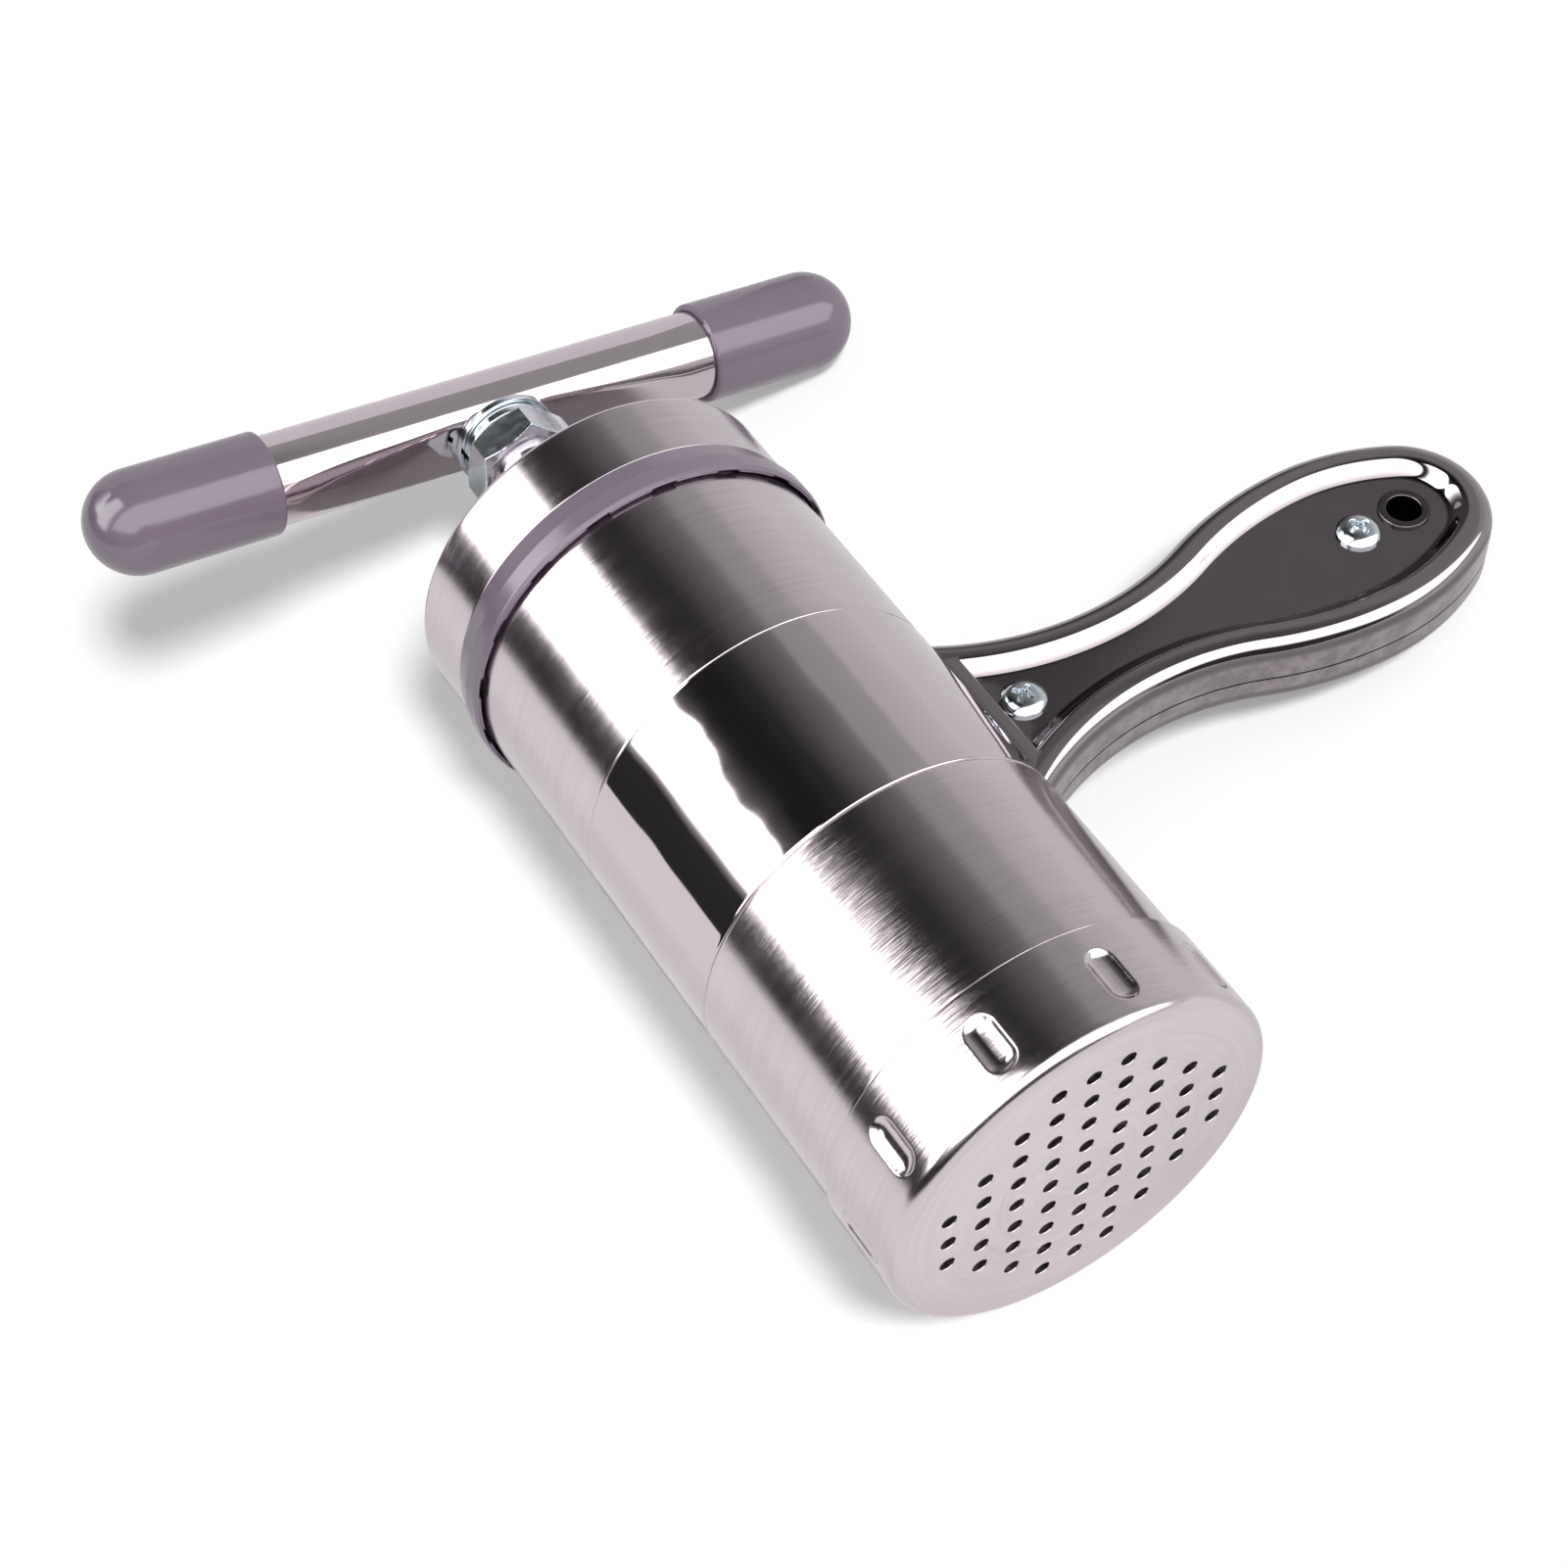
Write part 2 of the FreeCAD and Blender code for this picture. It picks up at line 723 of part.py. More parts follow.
def crank_solid(name, radius, inset):
    """A rod across the barrel's axis with its lower side pressed flat, deepest at the middle."""
    body = new_body(name)
    length, middle, end = pick("crank_end", "flat_middle", "flat_end")
    section = new_sketch(body, "YZ_Plane", f"{name}Section")
    circle(section, crank_axis, ZERO, radius)
    pad_both(body, section, 2 * length, f"{name}Rod")
    side = new_sketch(body, "XY_Plane", f"{name}Side")
    low = seat - crank_radius
    floor = crank_axis - crank_radius + inset
    polygon(side, [
        (-end, floor), (-end, low), (end, low), (end, floor),
        (middle, seat + inset), (-middle, seat + inset),
    ])
    pocket(body, side, None, f"{name}Flat")
    return body


def pad_both(body, sketch, length, name):
    """Material added evenly on both sides of a sketch."""
    feature = body.newObject("PartDesign::Pad", name)
    feature.Profile = sketch
    feature.Midplane = True
    feature.Length = length.value
    feature.setExpression("Length", length.text)
    doc.recompute()


def crank_tube():
    """The T tube: an outer rod less an inner one, with holes for the stud and the rivet."""
    outer = crank_solid("CrankOuter", crank_radius, ZERO)
    inner = crank_solid("CrankInner", crank_radius - crank_wall, crank_wall)
    for name, hole, height in (("StudHole", stud_radius, ZERO), ("RivetHole", rivet_radius, crank_radius)):
        sketch = new_sketch(outer, "XZ_Plane", name, offset=-crank_axis)
        circle(sketch, ZERO, ZERO, hole + weld_gap)
        pocket(outer, sketch, 2 * crank_radius, f"{name}Cut", flip=height is ZERO)
    cut = doc.addObject("Part::Cut", "CrankTube")
    cut.Base = outer
    cut.Tool = inner
    doc.recompute()
    place(cut, "crank_tube", CRANK_ROLL)


def grips():
    """The two plastic grips: capped sleeves with round ends, pushed over the tube's ends."""
    radius, tube_end, nose, overlap = pick("grip_radius", "crank_end", "grip_nose", "grip_overlap")
    end = tube_end + nose
    mouth = tube_end - overlap
    hole = crank_radius + weld_gap
    centre = end - radius
    for name, label, side in (("LeftGrip", "left_grip", -1.0), ("RightGrip", "right_grip", 1.0)):
        body = new_body(name)
        sketch = new_sketch(body, "XY_Plane", f"{name}Profile")
        low = crank_axis
        inner_wall = crank_axis + hole
        outer_wall = crank_axis + radius
        corners = [
            (side * tube_end, low), (side * tube_end, inner_wall), (side * mouth, inner_wall),
            (side * mouth, outer_wall), (side * centre, outer_wall), (side * end, low),
        ]
        lines = []
        for first, second in ((0, 1), (1, 2), (2, 3), (3, 4), (5, 0)):
            lines.append(sketch.addGeometry(line_between(corners[first], corners[second]), False))
        middle = (side * centre, low)
        ends = (corners[4], corners[5]) if side < 0 else (corners[5], corners[4])
        cap = arc(sketch, middle, ends[0], ends[1], radius)
        for number in range(3):
            sketch.addConstraint(
                Sketcher.Constraint("Coincident", lines[number], 2, lines[number + 1], 1)
            )
        sketch.addConstraint(Sketcher.Constraint("Coincident", lines[4], 2, lines[0], 1))
        start_end, tip_end = (1, 2) if side < 0 else (2, 1)
        sketch.addConstraint(Sketcher.Constraint("Coincident", lines[3], 2, cap, start_end))
        sketch.addConstraint(Sketcher.Constraint("Coincident", lines[4], 1, cap, tip_end))
        for number in range(4):
            fix_point(sketch, lines[number], 1, *corners[number])
        fix_point(sketch, lines[3], 2, *corners[4])
        fix_point(sketch, lines[4], 1, *corners[5])
        axis = sketch.addGeometry(line_between((side * mouth, low), (side * tube_end, low)), True)
        fix_point(sketch, axis, 1, side * mouth, low)
        fix_point(sketch, axis, 2, side * tube_end, low)
        feature = body.newObject("PartDesign::Revolution", f"{name}Turn")
        feature.Profile = sketch
        feature.ReferenceAxis = (sketch, ["Axis0"])
        feature.Angle = FULL_TURN
        doc.recompute()
        edges = mouth_edges(body.Shape, radius, side * mouth)
        round_off(body, get("grip_round"), edges, f"{name}Round")
        place(body, label, CRANK_ROLL)


def mouth_edges(shape, radius, place_x):
    """Names of the circles of one radius about the crank's axis at one place along it."""
    names = []
    for index, edge in enumerate(shape.Edges, start=1):
        if edge.Degenerated or not isinstance(edge.Curve, Part.Circle):
            continue
        same_radius = abs(edge.Curve.Radius - radius.value) < NEAR
        if same_radius and abs(edge.Curve.Center.x - place_x.value) < NEAR:
            names.append(f"Edge{index}")
    return names


def crank_washers():
    """The flat washer against the T tube and the split washer against the nut."""
    hole = stud_radius + weld_gap
    corners = tube_profile(hole, get("flat_washer_radius"), flat_washer_bottom, seat)
    place(turned("CrankWasher", corners), "crank_washer", CRANK_ROLL)
    outside = get("split_washer_radius")
    corners = tube_profile(hole, outside, split_washer_bottom, flat_washer_bottom)
    body = turned("SpringWasher", corners)
    sketch = new_sketch(body, "XZ_Plane", "SplitProfile", offset=-split_washer_bottom)
    half_gap = get("split_gap") * HALF
    polygon(sketch, [
        (-outside * 2, -half_gap), (ZERO, -half_gap), (ZERO, half_gap), (-outside * 2, half_gap),
    ])
    pocket(body, sketch, get("split_washer_height") * 2, "Split")
    place(body, "spring_washer", CRANK_ROLL)


# Ram: the plastic piston with its seal, and the washers and screw that hold it on the lifting screw.
ram_radius = bore_radius - get("ram_gap")
seal_height, seal_depth, seal_centre = pick("seal_height", "seal_depth", "seal_centre")


def ram_disc():
    """The piston: a face with a recess for the retainer, a grooved skirt and a middle boss."""
    floor_top = ram_face + get("ram_floor")
    skirt_inside = ram_radius - get("ram_skirt")
    boss = get("ram_boss_radius")
    recess = get("recess_radius")
    neck_fit = neck_radius + running_gap
    groove = ram_radius - seal_depth
    seal_low = seal_centre - seal_height * HALF - weld_gap
    seal_high = seal_centre + seal_height * HALF + weld_gap
    corners = [
        (recess, ram_face), (ram_radius, ram_face), (ram_radius, seal_low), (groove, seal_low),
        (groove, seal_high), (ram_radius, seal_high), (ram_radius, ram_top), (skirt_inside, ram_top),
        (skirt_inside, floor_top), (boss, floor_top), (boss, ram_top), (neck_fit, ram_top),
        (neck_fit, recess_top), (recess, recess_top),
    ]
    place(turned("RamDisc", corners), "ram_disc")


def ram_seal():
    """The rubber ring in the piston's groove."""
    inside = ram_radius - seal_depth + weld_gap
    outside = ram_radius + get("seal_swell")
    low = seal_centre - seal_height * HALF
    high = seal_centre + seal_height * HALF
    place(turned("RamSeal", tube_profile(inside, outside, low, high)), "ram_seal")


def thrust_washer():
    """The washer that the screw's shoulder presses on."""
    corners = tube_profile(neck_radius + running_gap, get("thrust_radius"), ram_top, thrust_top)
    place(turned("ThrustWasher", corners), "thrust_washer")


def ram_fasteners():
    """The retaining washer on the screw's lower end, and the screw that holds it."""
    hole = ram_screw + weld_gap
    corners = tube_profile(hole, get("retainer_radius"), retainer_bottom, retainer_top)
    place(turned("RamRetainer", corners), "ram_retaining_washer", CRANK_ROLL)
    head_bottom = retainer_bottom - get("ram_screw_head_height")
    end = retainer_top + get("ram_screw_length") - seat_gap
    head = get("ram_screw_head")
    corners = [
        (ZERO, head_bottom), (head, head_bottom), (head, retainer_bottom),
        (ram_screw, retainer_bottom), (ram_screw, end), (ZERO, end),
    ]
    rounds = [(head, head_bottom, get("ram_screw_head_height") * HALF)]
    place(turned("RamScrew", corners, rounds), "ram_screw", CRANK_ROLL)


# Handle: its plan outline is a chain of tangent arcs about a centreline square to the barrel.
handle_axis, handle_tip = pick("handle_axis", "handle_tip")
waist_place, waist_width = pick("waist_place", "waist_width")
belly_place, belly_width, belly_radius = pick("belly_place", "belly_width", "belly_radius")
shoulder_radius = get("shoulder_radius")
shell_wall, rim_round, rim_width = pick("shell_wall", "rim_round", "rim_width")
rim_height, panel_height, back_depth = pick("rim_height", "panel_height", "back_depth")
half_seam = get("seam") * HALF
screw_places = (get("root_lip") + get("head_radius") + get("screw_margin"), get("outer_screw"))

belly_drop = belly_radius - belly_width
shoulder_drop = shoulder_radius - belly_width
waist_run = belly_place - waist_place
waist_rise = waist_width + belly_drop
waist_radius = (waist_run * waist_run + waist_rise * waist_rise - belly_radius * belly_radius) / (
    2 * (belly_radius - waist_rise)
)
tip_run = handle_tip - belly_place
tip_radius = (
    shoulder_radius * shoulder_radius - shoulder_drop * shoulder_drop - tip_run * tip_run
) / (2 * (shoulder_radius - tip_run))
tip_place = handle_tip - tip_radius


def outline(sketch, inset, start):
    """The handle's outline, drawn an inset inside its edge and closed across the root at start."""
    waist_centre = waist_width + waist_radius
    between = belly_radius + waist_radius
    belly_inset = belly_radius - inset
    first = (
        belly_place - belly_inset * waist_run / between,
        belly_inset * (waist_centre + belly_drop) / between - belly_drop,
    )
    second = (belly_place, belly_width - inset)
    nose = shoulder_radius - tip_radius
    shoulder_inset = shoulder_radius - inset
    third = (
        belly_place + shoulder_inset * (tip_place - belly_place) / nose,
        shoulder_inset * shoulder_drop / nose - shoulder_drop,
    )
    waist_inset = waist_radius + inset
    root_run = waist_place - start
    root_end = (start, waist_centre - root(waist_inset * waist_inset - root_run * root_run))

    def upper(point):
        return (point[0], handle_axis + point[1])

    def lower(point):
        return (point[0], handle_axis - point[1])

    waist = (waist_place, waist_centre)
    belly = (belly_place, -belly_drop)
    shoulder = (belly_place, -shoulder_drop)
    nose_centre = (tip_place, ZERO)
    high = [
        arc(sketch, upper(waist), upper(root_end), upper(first), waist_inset),
        arc(sketch, upper(belly), upper(second), upper(first), belly_inset),
        arc(sketch, upper(shoulder), upper(third), upper(second), shoulder_inset),
    ]
    tip = arc(sketch, upper(nose_centre), lower(third), upper(third), tip_radius - inset)
    low = [
        arc(sketch, lower(waist), lower(first), lower(root_end), waist_inset),
        arc(sketch, lower(belly), lower(first), lower(second), belly_inset),
        arc(sketch, lower(shoulder), lower(second), lower(third), shoulder_inset),
    ]
    close = sketch.addGeometry(line_between(lower(root_end), upper(root_end)), False)
    joints = [
        (close, 2, high[0], 1), (high[0], 2, high[1], 2), (high[1], 1, high[2], 2),
        (high[2], 1, tip, 2), (tip, 1, low[2], 2), (low[2], 1, low[1], 2),
        (low[1], 1, low[0], 1), (low[0], 2, close, 1),
    ]
    for one, one_end, other, other_end in joints:
        sketch.addConstraint(Sketcher.Constraint("Coincident", one, one_end, other, other_end))
    fix_point(sketch, close, 1, *lower(root_end))
    fix_point(sketch, close, 2, *upper(root_end))
    fix_point(sketch, high[1], 2, *upper(first))
    fix_point(sketch, high[2], 2, *upper(second))
    fix_point(sketch, tip, 2, *upper(third))
    fix_point(sketch, tip, 1, *lower(third))
    fix_point(sketch, low[1], 2, *lower(second))
    fix_point(sketch, low[0], 1, *lower(first))


def cut_for_barrel(body, name, clearance):
    """Cuts a piece of the handle to the barrel's round."""
    sketch = new_sketch(body, "XZ_Plane", f"{name}Saddle")
    circle(sketch, ZERO, ZERO, barrel_radius + clearance)
    pocket(body, sketch, None, f"{name}SaddleCut")


def off_root(edge):
    """Whether an edge is clear of the root's closing line."""
    middle = edge.valueAt((edge.FirstParameter + edge.LastParameter) * HALF)
    return middle.x > get("root_start").value + NEAR


def on_panel(edge):
    """Whether an edge belongs to the panel's own outline: one of its arcs, or its end at the root."""
    arcs = [
        waist_radius + rim_width, belly_radius - rim_width,
        shoulder_radius - rim_width, tip_radius - rim_width,
    ]
    if isinstance(edge.Curve, Part.Circle):
        return min(abs(edge.Curve.Radius - size.value) for size in arcs) < NEAR
    middle = edge.valueAt((edge.FirstParameter + edge.LastParameter) * HALF)
    return abs(middle.x - get("root_lip").value) < NEAR


def handle_front_shell():
    """The pressed front: a rounded rim round a sunken panel, hollow behind."""
    body = new_body("FrontShell")
    start = get("root_start")
    outer = new_sketch(body, "XY_Plane", "FrontOutline", offset=half_seam)
    outline(outer, ZERO, start)
    pad(body, outer, rim_height - half_seam, "FrontBlock")
    hollow = new_sketch(body, "XY_Plane", "FrontHollow", offset=half_seam)
    outline(hollow, shell_wall, start - shell_wall)
    roof = rim_height - shell_wall
    pocket(body, hollow, roof - half_seam, "FrontHollowCut", flip=True)
    round_off(body, rim_round - shell_wall, level_edges(body.Shape, roof, off_root), "FrontHollowRim")
    round_off(body, rim_round, level_edges(body.Shape, rim_height, off_root), "FrontRim")
    lip = get("root_lip")
    floor = new_sketch(body, "XY_Plane", "FrontFloor", offset=panel_height - shell_wall)
    outline(floor, rim_width - shell_wall, start - shell_wall)
    pad(body, floor, rim_height - panel_height + shell_wall * HALF, "FrontFloorBlock")
    panel = new_sketch(body, "XY_Plane", "FrontPanel", offset=panel_height)
    outline(panel, rim_width, lip)
    pocket(body, panel, rim_height - panel_height + shell_wall, "FrontPanelCut", flip=True)
    crest = level_edges(body.Shape, rim_height, on_panel)
    round_off(body, get("crest_round"), crest, "FrontCrestRound")
    foot = level_edges(body.Shape, panel_height, on_panel)
    round_off(body, get("panel_round"), foot, "FrontPanelRound")
    cut_for_barrel(body, "Front", weld_gap)
    for name, where, radius in (
        ("FrontInnerHole", screw_places[0], get("screw_radius") + get("screw_gap")),
        ("FrontOuterHole", screw_places[1], get("screw_radius") + get("screw_gap")),
        ("FrontEyeletHole", get("eyelet_place"), get("eyelet_bore") + get("eyelet_wall") + weld_gap),
    ):
        sketch = new_sketch(body, "XY_Plane", name)
        circle(sketch, where, handle_axis, radius)
        pocket(body, sketch, None, f"{name}Cut")
    place(body, "handle_front_shell")


def handle_back_shell():
    """The pressed back: a shallow tray that closes the handle from behind."""
    body = new_body("BackShell")
    start = get("root_start")
    outer = new_sketch(body, "XY_Plane", "BackOutline", offset=-half_seam)
    outline(outer, ZERO, start)
    pad(body, outer, back_depth - half_seam, "BackBlock", flip=True)
    hollow = new_sketch(body, "XY_Plane", "BackHollow", offset=-half_seam)
    outline(hollow, shell_wall, start - shell_wall)
    floor = back_depth - shell_wall
    pocket(body, hollow, floor - half_seam, "BackHollowCut")
    round_off(body, rim_round - shell_wall, level_edges(body.Shape, -floor, off_root), "BackHollowRim")
    round_off(body, rim_round, level_edges(body.Shape, -back_depth, off_root), "BackRim")
    cut_for_barrel(body, "Back", weld_gap)
    sketch = new_sketch(body, "XY_Plane", "BackEyeletHole")
    circle(sketch, get("eyelet_place"), handle_axis, get("eyelet_bore") + get("eyelet_wall") + weld_gap)
    pocket(body, sketch, None, "BackEyeletHoleCut")
    place(body, "handle_back_shell")


def handle_saddle():
    """The curved plate inside the root, welded to the band."""
    width, depth, wall = pick("saddle_width", "saddle_depth", "saddle_wall")
    body = new_body("HandleSaddle")
    ring = new_sketch(body, "XZ_Plane", "SaddleRing", offset=-(handle_axis + width * HALF))
    circle(ring, ZERO, ZERO, barrel_radius + weld_gap + wall)
    circle(ring, ZERO, ZERO, barrel_radius + weld_gap)
    pad(body, ring, width, "SaddleRingBlock")
    trim = new_sketch(body, "XZ_Plane", "SaddleTrim")
    far = collar_radius * 2
    side = depth * HALF
    polygon(trim, [
        (-far, -far), (far, -far), (far, -side), (ZERO, -side),
        (ZERO, side), (far, side), (far, far), (-far, far),
    ])
    pocket(body, trim, None, "SaddleTrimCut")
    place(body, "handle_saddle")


def handle_tang():
    """The flat strip down the middle of the handle, with holes for the two posts."""
    wall, width, end = pick("tang_wall", "tang_width", "tang_end")
    body = new_body("HandleTang")
    sketch = new_sketch(body, "XY_Plane", "TangOutline", offset=-wall * HALF)
    side = width * HALF
    start = bore_radius
    polygon(sketch, [
        (start, handle_axis - side), (end, handle_axis - side),
        (end, handle_axis + side), (start, handle_axis + side),
    ])
    for where in screw_places:
        circle(sketch, where, handle_axis, get("post_radius") + weld_gap)
    pad(body, sketch, wall, "TangBlock")
    cut_for_barrel(body, "Tang", weld_gap + get("saddle_wall") + weld_gap)
    place(body, "handle_tang")


def handle_posts():
    """Two spacer posts between the shells, round the screws."""
    body = new_body("HandlePosts")
    low = -(back_depth - shell_wall)
    sketch = new_sketch(body, "XY_Plane", "PostRings", offset=low)
    for where in screw_places:
        circle(sketch, where, handle_axis, get("post_radius"))
        circle(sketch, where, handle_axis, get("screw_radius") + get("screw_gap"))
    body.AllowCompound = True
    pad(body, sketch, panel_height - shell_wall - low, "PostBlocks")
    place(body, "handle_posts")


def handle_screws():
    """Two cross-head screws with domed heads on the panel."""
    radius, head, height, head_round = pick("screw_radius", "head_radius", "head_height", "head_round")
    length, cross, slot, depth = pick("screw_length", "cross_length", "cross_width", "cross_depth")
    body = new_body("HandleScrews")
    body.AllowCompound = True
    heads = new_sketch(body, "XY_Plane", "ScrewHeads", offset=panel_height)
    shanks = new_sketch(body, "XY_Plane", "ScrewShanks", offset=panel_height)
    for where in screw_places:
        circle(heads, where, handle_axis, head)
        circle(shanks, where, handle_axis, radius)
    pad(body, heads, height, "ScrewHeadBlocks")
    pad(body, shanks, length, "ScrewShankBlocks", flip=True)
    top = panel_height + height
    round_off(body, head_round, level_edges(body.Shape, top, off_root), "ScrewHeadRound")
    reach = cross * HALF
    side = slot * HALF
    for number, where in enumerate(screw_places):
        for bar, (half_x, half_y) in enumerate(((reach, side), (side, reach))):
            name = f"Cross{number}{bar}"
            sketch = new_sketch(body, "XY_Plane", name, offset=top - depth)
            polygon(sketch, [
                (where - half_x, handle_axis - half_y), (where + half_x, handle_axis - half_y),
                (where + half_x, handle_axis + half_y), (where - half_x, handle_axis + half_y),
            ])
            pocket(body, sketch, depth * 2, f"{name}Cut", flip=True)
    place(body, "handle_screws")


def hanging_eyelet():
    """The rolled eyelet of the hanging hole, flanged on both faces of the handle."""
    bore, wall, flange, lip, where = pick(
        "eyelet_bore", "eyelet_wall", "eyelet_flange", "eyelet_lip", "eyelet_place"
    )
    body = new_body("HangingEyelet")
    low = -(back_depth + lip)
    high = panel_height + lip
    pipe = new_sketch(body, "XY_Plane", "EyeletPipe", offset=low)
    circle(pipe, where, handle_axis, bore + wall)
    pad(body, pipe, high - low, "EyeletPipeBlock")
    for name, level in (("EyeletFront", panel_height), ("EyeletBack", low)):
        rim = new_sketch(body, "XY_Plane", name, offset=level)
        circle(rim, where, handle_axis, bore + wall + flange)
        pad(body, rim, lip, f"{name}Block")
    for level in (high, low):
        edges = level_edges(body.Shape, level, off_root)
        round_off(body, lip * HALF, edges, f"EyeletRound{'High' if level is high else 'Low'}")
    hole = new_sketch(body, "XY_Plane", "EyeletBore")
    circle(hole, where, handle_axis, bore)
    pocket(body, hole, None, "EyeletBoreCut")
    place(body, "hanging_eyelet")


barrel_tube()
sleeves()
die_cap()
lid_shell()
lid_collar()
screw_bush()
bush_washer()
hexagon_nut(
    "BushLocknut", "bush_locknut", get("locknut_width"), locknut_bottom, washer_bottom, neck_hole
)
screw_rod()
crank_tube()
grips()
hexagon_nut(
    "CrankNut", "crank_nut", get("nut_width"), nut_bottom, split_washer_bottom,
    stud_radius + weld_gap, CRANK_ROLL,
)
crank_washers()
ram_disc()
ram_seal()
thrust_washer()
ram_fasteners()
handle_front_shell()
handle_back_shell()
handle_saddle()
handle_tang()
handle_posts()
handle_screws()
hanging_eyelet()

doc.recompute()
broken = [item.Name for item in doc.Objects if "Invalid" in item.State or "Error" in item.State]
if broken:
    raise RuntimeError(f"failed features: {broken}")
for piece in CREATED:
    if piece.Shape.isNull() or not piece.Shape.isValid():
        raise RuntimeError(f"{piece.Label} has no valid shape")

os.makedirs("parts", exist_ok=True)
for piece in CREATED:
    piece.Shape.exportStep(f"parts/{piece.Label}.step")
    box = piece.Shape.BoundBox
    print(
        f"{piece.Label}: {len(piece.Shape.Solids)} solid, {piece.Shape.Volume:.0f} mm3, "
        f"x {box.XMin:.1f} to {box.XMax:.1f}, y {box.YMin:.1f} to {box.YMax:.1f}, "
        f"z {box.ZMin:.1f} to {box.ZMax:.1f}"
    )
print(f"roll {ROLL.value:.3f} degrees, waist radius {waist_radius.value:.2f}, tip radius {tip_radius.value:.2f}")
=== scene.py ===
import json
import math

import bmesh
import bpy
import numpy as np
from mathutils import Matrix, Vector, geometry


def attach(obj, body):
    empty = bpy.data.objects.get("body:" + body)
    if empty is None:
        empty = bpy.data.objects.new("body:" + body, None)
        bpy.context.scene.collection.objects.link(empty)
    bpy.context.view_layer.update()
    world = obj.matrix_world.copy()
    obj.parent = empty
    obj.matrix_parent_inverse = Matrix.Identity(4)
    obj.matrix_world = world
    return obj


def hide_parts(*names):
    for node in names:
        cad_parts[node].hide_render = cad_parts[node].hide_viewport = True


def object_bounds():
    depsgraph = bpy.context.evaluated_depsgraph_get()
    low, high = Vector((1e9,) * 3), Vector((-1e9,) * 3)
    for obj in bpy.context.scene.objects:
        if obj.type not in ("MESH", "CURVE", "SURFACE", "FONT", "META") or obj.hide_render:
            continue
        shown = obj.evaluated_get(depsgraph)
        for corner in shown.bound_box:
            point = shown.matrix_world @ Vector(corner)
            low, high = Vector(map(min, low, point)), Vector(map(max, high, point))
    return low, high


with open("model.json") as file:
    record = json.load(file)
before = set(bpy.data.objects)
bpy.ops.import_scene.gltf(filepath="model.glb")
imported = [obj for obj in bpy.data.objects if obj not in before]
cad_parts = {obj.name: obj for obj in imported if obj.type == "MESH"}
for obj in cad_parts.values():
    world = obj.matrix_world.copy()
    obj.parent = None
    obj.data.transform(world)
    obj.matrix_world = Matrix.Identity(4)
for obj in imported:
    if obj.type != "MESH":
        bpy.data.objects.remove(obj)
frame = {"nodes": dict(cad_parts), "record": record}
cad_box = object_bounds()

# Barrel tube: the pressing tube of drawn stainless steel, with three rolled ridges at its lower end
# that the die cap screws on to. It runs the barrel's whole length inside the three sleeves, which
# are spot welded to it.
MM = 0.001
WELD = 2e-6
TURN_STEPS = 320
hanging_hole = next(m for m in frame["record"]["mounts"] if m["name"] == "hanging_hole")
PANEL_UP = np.array(hanging_hole["axis"]) / np.linalg.norm(hanging_hole["axis"])
BARREL_UP = np.array((0.0, 1.0, 0.0))
HANDLE_OUT = np.cross(BARREL_UP, PANEL_UP)
HANDLE_FRAME = np.stack([HANDLE_OUT, BARREL_UP, PANEL_UP])


def placed(x, y, z, turn=0.0):
    """Millimetres out along the handle, up the barrel and up from the panel, turned about the
    barrel's axis: each times its direction and added up, in metres."""
    x, y, z = np.broadcast_arrays(x, y, z)
    out = x * math.cos(turn) + z * math.sin(turn)
    up = z * math.cos(turn) - x * math.sin(turn)
    return np.stack([out, y, up], -1) @ HANDLE_FRAME * MM


def measured(node):
    """Least and greatest radius about the barrel's axis, and lowest and highest place along it."""
    mesh = frame["nodes"][node].data
    places = np.zeros(len(mesh.vertices) * 3, np.float32)
    mesh.vertices.foreach_get("co", places)
    places = places.reshape(-1, 3).astype(float) / MM
    radius = np.hypot(places[:, 0], places[:, 2])
    found = (radius.min(), radius.max(), places[:, 1].min(), places[:, 1].max())
    return tuple(round(float(number), 3) for number in found)


def patch(points, rows_closed=False, columns_closed=False):
    """A grid of places, and the quads between each row and the next."""
    rows, columns = points.shape[:2]
    number = np.arange(rows * columns).reshape(rows, columns)
    if rows_closed:
        number = np.vstack([number, number[:1]])
    if columns_closed:
        number = np.hstack([number, number[:, :1]])
    corners = (number[:-1, :-1], number[:-1, 1:], number[1:, 1:], number[1:, :-1])
    return points.reshape(-1, 3), np.stack(corners, -1).reshape(-1, 4)


